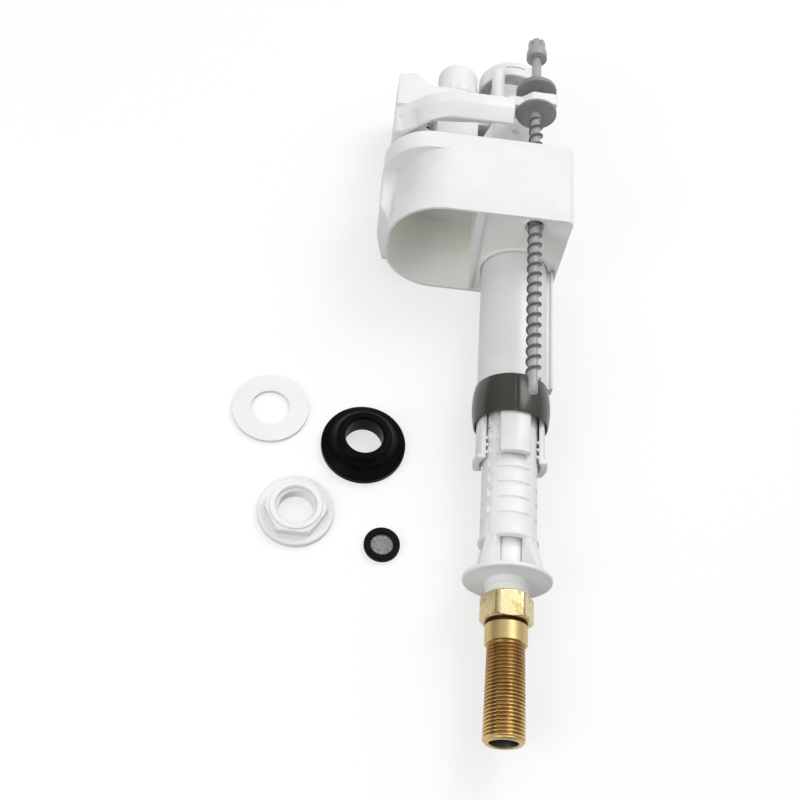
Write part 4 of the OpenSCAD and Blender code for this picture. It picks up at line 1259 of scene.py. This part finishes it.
    def _collar(self) -> Skin:
        """A ring whose outside bulges as an arc, with a groove along its seam.

        The outside is r = R - (bulge - sqrt(bulge^2 - h^2)) with h measured from mid height, less the seam's
        depth times exp(-(d / w)^2), where d is the distance round the collar from the seam.

        Returns:
            The skin in the model's frame.
        """
        out_r, tall = Stand.UP_THE_VALVE.round_size("lock_collar")
        low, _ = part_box("lock_collar")
        half, edge, bore_r = tall / 2, self.collar_edge, self.collar_bore_r
        h = np.linspace(edge - half, half - edge, 21)
        bulge = out_r - (self.bulge_r - np.sqrt(self.bulge_r**2 - h**2))
        corner = out_r - (self.bulge_r - math.sqrt(self.bulge_r**2 - half**2))
        outline = rounded([
            *((r, y, 0) for r, y in zip(bulge, h)),
            (corner, half, edge), (bore_r, half, self.collar_bore_edge), (bore_r, 0, 0),
            (bore_r, -half, self.collar_bore_edge), (corner, -half, edge),
        ])
        angle = angles(self.collar_sides)
        away = np.abs((angle - self.seam_angle + math.pi) % TURN - math.pi) * out_r
        groove = self.seam_depth * np.exp(-((away / self.seam_w) ** 2))
        on_outside = smooth(outline[:, :1], bore_r + 0.8 * MM, bore_r + 1.4 * MM)
        skin = turned(outline[:, :1] - on_outside * groove, outline[:, 1], angle)
        return skin.placed(Stand.UP_THE_VALVE, (0, low.y + half, 0))


@dataclass
class LevelAdjuster:
    """The grey screw with its coarse ridge, its two discs and its fluted knob."""

    lead: float = 6.7 * MM
    core_r: float = 2.4 * MM
    ridge_r: float = 4.15 * MM
    ridge_base: float = 2.5 * MM
    ridge_edge: float = 1.25 * MM
    ridge_spans: int = 34
    ridge_fade: float = 1.2 * MM
    stem_r: float = 2.9 * MM
    tip_len: float = 9 * MM
    tip_chamfer: float = 0.5 * MM
    plain_len: float = 4 * MM
    end_round: float = 0.3 * MM
    disc_clearance: float = 0.05 * MM
    disc_edge: float = 0.45 * MM
    hub_h: float = 1.5 * MM
    hub_wall: float = 1.2 * MM
    knob_bore_r: float = 2.95 * MM
    knob_bore_len: float = 8.1 * MM
    grip_r: float = 5.3 * MM
    skirt_len: float = 4.9 * MM
    grip_y: float = 7 * MM
    dish_r: float = 2 * MM
    dish_depth: float = 2 * MM
    flutes: int = 6
    flute_turn: float = math.radians(76)
    flute_depth: float = 1.1 * MM
    sides: int = 40

    @property
    def axis(self) -> tuple[float, float]:
        """The x and z of the screw's axis, which is the lower disc's."""
        low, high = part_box("lower_disc")
        return (low.x + high.x) / 2, (low.z + high.z) / 2

    def build(self, shop: Workshop) -> None:
        """Builds the screw, the discs and the knob on the screw's axis.

        Args:
            shop: Where the pieces are made.
        """
        light, shade = (0.42, 0.42, 0.425), (0.35, 0.35, 0.355)
        # the screw's ridge carries painted shade
        ridge_shaded_finish = RidgeShadedPlastic("ridge_shaded_moulding", light, shade, roughness=0.32, axis=self.axis)
        shop.piece("ridged_screw", self._screw(), "adjusting_screw", ridge_shaded_finish, 60)
        shop.piece("disc_below_pad", self._disc("lower_disc", 0), "lower_disc", GREY)
        shop.piece("disc_above_pad", self._disc("upper_disc", self.hub_h), "upper_disc", GREY)
        shop.piece("fluted_knob", self._knob(), "adjuster_knob", SCREW_GREY, 38)

    def _on_axis(self, skin: Skin, y: float = 0.0) -> Skin:
        """The skin on the screw's axis, with its foot at height y."""
        x, z = self.axis
        return skin.placed(Stand.UP_THE_VALVE, (x, y, z))

    def _screw(self) -> Skin:
        """A turned bar whose radius rises to the ridge once in each lead.

        With s = (h - start) / lead - a / 360, the distance from the middle of the ridge is
        d = |frac(s + 1/2) - 1/2| lead, and the radius is core + (ridge - core) (1 - smooth(d)), where the
        step runs from half the ridge's edge to half its base.

        Returns:
            The skin in the model's frame.
        """
        low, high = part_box("adjusting_screw")
        start, top = low.y + self.tip_len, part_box("lower_disc")[0].y - self.plain_len
        angle, edge = angles(self.sides), self.end_round
        height = np.concatenate([
            [low.y, low.y, low.y + edge],
            stations([start - 0.6 * self.lead, top + 0.3 * MM], self.lead / self.ridge_spans),
            [top + 0.9 * MM, high.y - edge, high.y, high.y],
        ])
        turns = (height[:, None] - start) / self.lead - angle / TURN
        away = np.abs((turns + 0.5) % 1 - 0.5) * self.lead
        ridge = 1 - smooth(away, self.ridge_edge / 2 - 0.15 * MM, self.ridge_base / 2)
        ridge = ridge * smooth(turns, -0.55, -0.15)
        ridge = ridge * (1 - smooth(height, top - self.ridge_fade, top))[:, None]
        core = np.interp(height, [top - 0.2 * MM, top + 0.8 * MM], [self.core_r, self.stem_r])
        core[1], core[-2] = self.core_r - self.tip_chamfer, self.stem_r - edge
        radius = core[:, None] + (self.ridge_r - self.core_r) * ridge
        radius[[0, -1]] = 0
        return self._on_axis(turned(radius, height, angle, closed=False))

    def _disc(self, node: str, hub: float) -> Skin:
        """A disc with a rounded rim, and a hub above it.

        Args:
            node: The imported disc.
            hub: Height of the hub, or 0 for none.

        Returns:
            The skin in the model's frame.
        """
        out_r, tall = Stand.UP_THE_VALVE.round_size(node)
        bore_r, hub_r = self.stem_r + self.disc_clearance, self.stem_r + self.hub_wall
        thick = tall - hub
        corners = [(bore_r, 0, 0), (out_r, 0, self.disc_edge), (out_r, thick, self.disc_edge)]
        if hub:
            corners += [(hub_r, thick, 0.5 * MM), (hub_r, tall, 0.3 * MM)]
        corners.append((bore_r, tall, 0.2 * MM))
        return self._on_axis(lathe(rounded(corners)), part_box(node)[0].y)

    def _knob(self) -> Skin:
        """A knob with flutes above a conical skirt.

        The flutes take depth * max(0, cos(n a))^3 off the radius, where n is their number, and fade out
        towards the skirt.

        Returns:
            The skin in the model's frame.
        """
        skirt_r, tall = Stand.UP_THE_VALVE.round_size("adjuster_knob")
        bore_r, bore_top, dish = self.knob_bore_r, self.knob_bore_len, tall - self.dish_depth
        outline = rounded([
            (bore_r, 0, 0), (skirt_r, 0, 0.5 * MM), (skirt_r, self.skirt_len, 0.5 * MM),
            (self.grip_r, self.grip_y, 0.8 * MM), (self.grip_r, tall * 0.75, 0),
            (self.grip_r - 0.15 * MM, tall, 0.6 * MM), (self.dish_r, tall, 0.3 * MM), (self.dish_r, dish, 0),
            (0, dish, 0), (0, bore_top, 0), (bore_r, bore_top, 0),
        ])
        angle = angles(96)
        valley = np.clip(np.cos(self.flutes * (angle + self.flute_turn)), 0, None) ** 3
        outside = outline[:, 0] > bore_r + self.disc_clearance
        on_grip = smooth(outline[:, 1], self.grip_y - 0.6 * MM, self.grip_y + MM) * outside
        radius = outline[:, :1] - self.flute_depth * on_grip[:, None] * valley
        return self._on_axis(turned(radius, outline[:, 1], angle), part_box("adjuster_knob")[0].y)


@dataclass
class CupFloat:
    """The float's cup and lid."""

    wall: float = 1.8 * MM
    step: float = 5 * MM
    corner: float = 32 * MM
    band: float = 12 * MM
    lean: float = 3.2 * MM
    strip_end: float = 6 * MM
    edge_round: float = 0.35 * MM

    def build(self, shop: Workshop) -> None:
        """Rounds the cup and the lid, leans the left wall and paints bounce light inside the cup as a warm
        tint.

        Args:
            shop: Where the pieces are made.
        """
        low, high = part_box("float_cup")
        inset = self.wall * 0.45
        cup = CupPlastic(
            "cup_moulding", WHITE.colour, WHITE.shade, glow=0.2, glow_depth=6 * MM,
            left=low.x + self.step + inset, right=high.x - inset, low=low.z + inset, high=high.z - inset,
            corner=self.corner - inset, rim=low.y + 0.1 * MM, lean=self.lean, lean_top=high.y - self.band,
        )
        shell = shop.softened("float_shell", "float_cup", cup, self.edge_round)
        self._lean_wall(shell, low, high)
        shop.softened("float_cover", "float_lid", WHITE, self.edge_round)

    def _lean_wall(self, mesh: bpy.types.Mesh, low: Vector, high: Vector) -> None:
        """Leans the left wall below the band inwards, as the moulding's draft does.

        A point moves by x + lean * t * s, where t rises from 0 at the rim to 1 at the band and s from 0 at
        the corners' centres to 1 at the wall. The band and the strip, which stand outside the rim's plan,
        stay, but the strip's lower end is drawn in to that plan first, so that it runs out into the wall.

        Args:
            mesh: The cup's finished mesh, in the model's frame.
            low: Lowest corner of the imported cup.
            high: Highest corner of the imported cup.
        """
        points = np.empty(len(mesh.vertices) * 3)
        mesh.vertices.foreach_get("co", points)
        points = points.reshape(-1, 3)
        x, y, z = points.T
        left, middle = low.x + self.step, (high.z + low.z) / 2
        half = (high.z - low.z) / 2 - self.corner
        beyond = np.minimum(x - left - self.corner, 0)
        aside = np.sign(z - middle) * np.maximum(np.abs(z - middle) - half, 0)
        reach = np.maximum(np.hypot(beyond, aside), self.corner)
        ends = y < low.y + self.strip_end + 0.5 * MM
        drawn = np.where(ends, self.corner / reach - 1, 0)
        x += beyond * drawn
        z += aside * drawn
        within = ends | (reach < self.corner + 0.1 * MM)
        rise = np.clip((y - low.y) / (high.y - self.band - low.y), 0, 1)
        x += np.where(within, self.lean * rise * smooth(-x, -left - self.corner, -left), 0)
        mesh.vertices.foreach_set("co", points.ravel())
        mesh.update()


@dataclass
class ValveHead:
    """The lever arm, the body with its two towers, the cap, the hood and what they hold."""

    arm_round: float = 0.6 * MM
    body_round: float = 0.35 * MM
    cap_round: float = 0.25 * MM
    hood_round: float = 0.3 * MM

    def build(self, shop: Workshop) -> None:
        """Rounds the mouldings of the head.

        Args:
            shop: Where the pieces are made.
        """
        shop.softened("lever_beam", "lever_arm", WHITE, self.arm_round)
        shop.kept("arm_pin", STEEL)
        shop.kept("pilot_seal", SEAL)
        shop.softened("twin_towers", "valve_body", WHITE, self.body_round)
        shop.softened("ribbed_cap", "head_cap", WHITE, self.cap_round)
        shop.kept("diaphragm", SEAL)
        shop.kept("diaphragm_pin", WHITE)
        shop.softened("round_hood", "vent_hood", WHITE, self.hood_round)


@dataclass
class LooseFittings:
    """The washer, the gasket, the back nut and the filter washer that lie beside the valve."""

    washer_bore_r: float = 10.6 * MM
    washer_edge: float = 0.5 * MM
    gasket_bore_r: float = 10.3 * MM
    gasket_rim_h: float = 4 * MM
    gasket_rim_edge: float = 0.6 * MM
    gasket_cone_foot: tuple[float, float] = (18.6 * MM, 6.2 * MM)
    gasket_cone_step: tuple[float, float] = (17.2 * MM, 8 * MM)
    gasket_nose_r: float = 14.6 * MM
    gasket_mouth: tuple[float, float] = (0.6 * MM, 1.2 * MM)
    pitch: float = 1.814 * MM
    thread_depth: float = 0.9 * MM
    nut_bore_r: float = 9.4 * MM
    nut_lead_r: float = 10.7 * MM
    nut_lead_len: float = 3 * MM
    nut_flats: float = 30 * MM
    nut_corner_r: float = 17.5 * MM
    nut_bevel: float = 1.6 * MM
    nut_bevel_slope: float = 1.3
    nut_flange: float = 3.6 * MM
    nut_ring_r: float = 14.2 * MM
    nut_ring_h: float = 1.2 * MM
    filter_bore_r: float = 6 * MM
    slot_depth: float = MM
    slot_half: float = 0.4 * MM
    wire: float = 0.25 * MM
    mesh_pitch: float = 0.52 * MM

    def build(self, shop: Workshop) -> None:
        """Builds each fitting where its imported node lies.

        Args:
            shop: Where the pieces are made.
        """
        shop.piece("flat_plastic_washer", self._washer(), "flat_washer", WHITE)
        gasket_black = MouldedRubber(
            "gasket_rubber", (0.003, 0.003, 0.003), (0.007, 0.007, 0.007), self._foot("rubber_gasket")[:2],
            roughness=0.30, gloss=0.035,
        )
        shop.piece("cone_gasket", self._gasket(), "rubber_gasket", gasket_black)
        shop.piece("flanged_nut", self._nut(), "back_nut", WHITE, 38)
        filter_black = MouldedRubber(
            "filter_rubber", (0.005, 0.005, 0.005), (0.011, 0.011, 0.011), self._foot("filter_ring")[:2],
            roughness=0.5, gloss=0.06,
        )
        shop.piece("filter_washer", self._filter_ring(), "filter_ring", filter_black)
        shop.piece("woven_gauze", self._gauze(), "filter_gauze", STEEL, 80)

    @staticmethod
    def _foot(node: str) -> tuple[float, float, float]:
        """The point under the middle of a fitting, on the table."""
        low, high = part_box(node)
        return (low.x + high.x) / 2, (low.y + high.y) / 2, low.z

    def _lying(self, skin: Skin, node: str) -> Skin:
        """The skin set down where a packed fitting lies."""
        return skin.placed(Stand.OFF_THE_TABLE, self._foot(node))

    def _washer(self) -> Skin:
        """A flat ring with rounded edges.

        Returns:
            The skin in the model's frame.
        """
        out_r, thick = Stand.OFF_THE_TABLE.round_size("flat_washer")
        corners = [(self.washer_bore_r, 0), (out_r, 0), (out_r, thick), (self.washer_bore_r, thick)]
        outline = rounded([(r, h, self.washer_edge) for r, h in corners])
        return self._lying(lathe(outline, 128), "flat_washer")

    def _gasket(self) -> Skin:
        """A rubber ring with a flat rim and a conical nose whose top rolls in to the hole.

        Returns:
            The skin in the model's frame.
        """
        out_r, tall = Stand.OFF_THE_TABLE.round_size("rubber_gasket")
        bore_r, edge, (wide, deep) = self.gasket_bore_r, self.gasket_rim_edge, self.gasket_mouth
        rim = [(bore_r, 0, edge), (out_r, 0, edge), (out_r, self.gasket_rim_h, 1.2 * MM)]
        cone = [(*self.gasket_cone_foot, 1.5 * MM), (*self.gasket_cone_step, 1.2 * MM)]
        nose = [(self.gasket_nose_r, tall, 2.2 * MM), (bore_r + wide, tall, 0.9 * MM)]
        outline = rounded([*rim, *cone, *nose, (bore_r, tall - deep, edge)], steps=6)
        return self._lying(lathe(outline, 144), "rubber_gasket")

    def _nut(self) -> Skin:
        """A hexagon on a round flange, threaded inside.

        The outside radius is the flange's below and the hexagon's above, cut by a cone at the top. The bore's
        radius is the crest's plus the thread's depth times its groove.

        Returns:
            The skin in the model's frame.
        """
        out_r, tall = Stand.OFF_THE_TABLE.round_size("back_nut")
        sides, gap = 120, 0.02 * MM
        angle = angles(sides)
        flange, ring_r, lead_r = self.nut_flange, self.nut_ring_r, self.nut_lead_r
        hex_top, lead_y = tall - self.nut_ring_h, tall - self.nut_lead_len
        rim = rounded(
            [
                (self.nut_bore_r, 0, 0), (out_r, 0, 0.8 * MM), (out_r, flange, 1.6 * MM),
                (self.nut_corner_r + 0.1 * MM, flange, 0),
            ],
            closed=False,
        )[1:]
        hex_h = stations(
            [flange + gap, flange + 0.5 * MM, hex_top - self.nut_bevel, hex_top - 0.4 * MM, hex_top], 0.3 * MM
        )
        cone = hexagon_radius(np.zeros(1), self.nut_flats) - self.nut_bevel
        cone = cone + (hex_top - hex_h[:, None]) * self.nut_bevel_slope
        faces = np.minimum(hexagon_radius(angle, self.nut_flats), np.minimum(cone, self.nut_corner_r))
        ring = rounded(
            [
                (ring_r, hex_top + gap, 0), (ring_r - 0.3 * MM, tall, 0.7 * MM),
                (lead_r + 0.5 * MM, tall, 0.5 * MM), (lead_r, tall - 0.8 * MM, 0), (lead_r, lead_y, 0),
            ],
            closed=False,
        )
        thread_h = stations([lead_y - gap, 0.0], self.pitch / 10)
        groove = thread_groove(thread_h, angle, self.pitch, 0.1, 0.9)
        groove = groove * smooth(thread_h, 0.1 * MM, 0.8 * MM)[:, None]
        radius = np.concatenate([
            np.repeat(rim[:, :1], sides, 1),
            faces,
            np.repeat(ring[:, :1], sides, 1),
            self.nut_bore_r + self.thread_depth * groove,
        ])
        height = np.concatenate([rim[:, 1], hex_h, ring[:, 1], thread_h])
        return self._lying(turned(radius, height, angle), "back_nut")

    def _filter_ring(self) -> Skin:
        """A rubber ring with a slot inside that holds the gauze's edge.

        Returns:
            The skin in the model's frame.
        """
        out_r, tall = Stand.OFF_THE_TABLE.round_size("filter_ring")
        bore_r, slot_r = self.filter_bore_r, self.filter_bore_r + self.slot_depth
        above, below = tall / 2 + self.slot_half, tall / 2 - self.slot_half
        outline = rounded([
            (bore_r, 0, 0.4 * MM), (out_r, 0, 0.7 * MM), (out_r, tall, 0.7 * MM), (bore_r, tall, 0.5 * MM),
            (bore_r, above, 0), (slot_r, above, 0), (slot_r, below, 0), (bore_r, below, 0),
        ])
        return self._lying(lathe(outline), "filter_ring")

    def _gauze(self) -> Skin:
        """Plain-woven wires in a round frame.

        Wire k lies at p = k pitch across the disc. Along its length t it rises and falls as
        a cos(pi (t / pitch + k)), so that it passes over and under the wires of the other set in turn. Each
        wire is a tube of six sides, clipped to the disc's chord.

        Returns:
            The skin in the model's frame.
        """
        out_r, tall = Stand.OFF_THE_TABLE.round_size("filter_gauze")
        frame_r = out_r - 0.1 * MM
        count = int(frame_r / self.mesh_pitch)
        k = np.arange(-count, count + 1)
        across = k * self.mesh_pitch
        reach = np.sqrt(np.clip(frame_r**2 - across**2, 0, None))
        t = np.linspace(-1, 1, 97) * reach[:, None]
        rise = self.wire * 0.55 * np.cos(math.pi * (t / self.mesh_pitch + k[:, None]))
        side = angles(6)
        p = across[:, None, None] + np.broadcast_to(self.wire / 2 * np.cos(side), (*t.shape, 6))
        q = np.broadcast_to(t[..., None], p.shape)
        swell = self.wire / 2 * np.sin(side)
        along = np.stack([p, q, rise[..., None] + swell], -1)
        crosswise = np.stack([q, p, swell - rise[..., None]], -1)
        wires = [Skin.grid(wire, close_columns=True) for wire in (*along, *crosswise)]
        x, y, z = self._foot("filter_gauze")
        return Skin.joined(wires).placed(Stand.OFF_THE_TABLE, (x, y, z + tall / 2))


@dataclass
class Studio:
    """The pale table, the soft lights and the camera of the photograph."""

    focal_px: float = 1278.131
    picture_px: float = 800.0
    sensor_mm: float = 36.0
    eye: tuple[float, float, float] = (-0.1003, -0.1774, 0.5922)
    pitch: float = 31.253
    yaw: float = 3.8
    roll: float = 4.249
    floor_half: float = 3.0
    floor_gap: float = 0.02 * MM
    floor_white: float = 0.62
    lamp_size: float = 0.7
    lamp_target: tuple[float, float, float] = (-0.03, 0.2, 0.0)

    def build(self) -> None:
        """Makes the camera, the floor, the lamps and the world."""
        self._camera()
        self._floor()
        self._world()
        self._lamp("key_panel", (0.55, 0.90, 1.15), 7.3)
        self._lamp("fill_panel", (-0.80, -0.42, 0.75), 5.2)

    def _camera(self) -> None:
        """Sets the camera at the photograph's viewing angle.

        Forward is (cos p sin w, sin p, -cos p cos w) for the pitch p from straight down and the yaw w. The
        level right and up directions are then turned by the roll.
        """
        p, w, r = (math.radians(v) for v in (self.pitch, self.yaw, self.roll))
        forward = Vector((math.cos(p) * math.sin(w), math.sin(p), -math.cos(p) * math.cos(w)))
        right = Vector((math.cos(w), 0, math.sin(w)))
        up = right.cross(forward)
        across = right * math.cos(r) + up * math.sin(r)
        above = up * math.cos(r) - right * math.sin(r)
        data = bpy.data.cameras.new("photo_camera")
        data.sensor_width = self.sensor_mm
        data.lens = self.focal_px / self.picture_px * self.sensor_mm
        data.clip_start, data.clip_end = 0.01, 20.0
        camera = bpy.data.objects.new("photo_camera", data)
        turn = Matrix((across, above, -forward)).transposed().to_4x4()
        camera.matrix_world = Matrix.Translation(Vector(self.eye)) @ turn
        bpy.context.scene.collection.objects.link(camera)
        bpy.context.scene.camera = camera

    def _floor(self) -> None:
        """A plane under the lowest piece, nearly white where it is seen, with soft shadows."""
        low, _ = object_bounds()
        e, z = self.floor_half, low.z - self.floor_gap
        mesh = bpy.data.meshes.new("table_top")
        mesh.from_pydata([(-e, -e, z), (e, -e, z), (e, e, z), (-e, e, z)], [], [(0, 1, 2, 3)])
        floor = bpy.data.objects.new("table_top", mesh)
        bpy.context.scene.collection.objects.link(floor)
        made = bpy.data.materials.new("table_top")
        tree = NodeTree(made)
        seen = self._seen(tree)
        colour = tree.mixed(seen, (0.46, 0.47, 0.49), (0.94, 0.945, 0.95))
        paper = tree.node("ShaderNodeBsdfDiffuse", inputs={"Color": colour})
        light = tree.node("ShaderNodeEmission", inputs={"Color": (1.0, 1.0, 1.0), "Strength": 1.0})
        share = seen * self.floor_white
        both = tree.node("ShaderNodeMixShader", inputs={0: share, 1: paper.out(), 2: light.out()})
        tree.node("ShaderNodeOutputMaterial", inputs={"Surface": both.out()})
        mesh.materials.append(made)
        floor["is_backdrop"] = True

    @staticmethod
    def _seen(tree: NodeTree) -> Signal:
        """1 for what the camera sees, straight or in gloss and glass, and 0 for other light.

        Args:
            tree: The tree, to which nodes are added.

        Returns:
            The share as a signal.
        """
        path = tree.node("ShaderNodeLightPath")
        rays = path.out("Is Camera Ray").most(path.out("Is Glossy Ray"))
        return rays.most(path.out("Is Transmission Ray"))

    @staticmethod
    def _world() -> None:
        """A pale sky, brightest above the valve's head and dim on the inlet's side."""
        world = bpy.data.worlds.new("pale_sky")
        bpy.context.scene.world = world
        tree = NodeTree(world)
        aside, along, up = tree.axes(tree.node("ShaderNodeTexCoord").out("Generated"))
        bright = (up * 0.95 + along * 0.35 + aside * 0.25).step(-0.2, 0.95)
        colour = tree.mixed(bright, (0.11, 0.108, 0.105), (0.80, 0.81, 0.82))
        sky = tree.node("ShaderNodeBackground", inputs={"Color": colour, "Strength": 1.0})
        tree.node("ShaderNodeOutputWorld", inputs={"Surface": sky.out()})

    def _lamp(self, name: str, place: tuple[float, float, float], watts: float) -> None:
        """A square soft panel that faces the middle of the object.

        Args:
            name: Name of the lamp.
            place: Where it stands.
            watts: Its power.
        """
        data = bpy.data.lights.new(name, "AREA")
        data.size, data.energy = self.lamp_size, watts
        lamp = bpy.data.objects.new(name, data)
        lamp.location = place
        lamp.rotation_mode = "QUATERNION"
        lamp.rotation_quaternion = (Vector(self.lamp_target) - Vector(place)).to_track_quat("-Z", "Y")
        bpy.context.scene.collection.objects.link(lamp)


def main() -> None:
    """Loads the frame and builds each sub-assembly in order."""
    logging.basicConfig(level=logging.INFO, format="%(name)s: %(message)s")
    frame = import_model()
    shop = Workshop(frame)
    for part in (InletTail(), HeightColumn(), LevelAdjuster(), CupFloat(), ValveHead(), LooseFittings()):
        part.build(shop)
    missed = sorted(set(shop.nodes) - shop.dressed)
    if missed:
        raise RuntimeError(f"these nodes have no finish: {missed}")
    Studio().build()
    bpy.context.scene.view_settings.view_transform = "Standard"


if __name__ == "__main__":
    main()
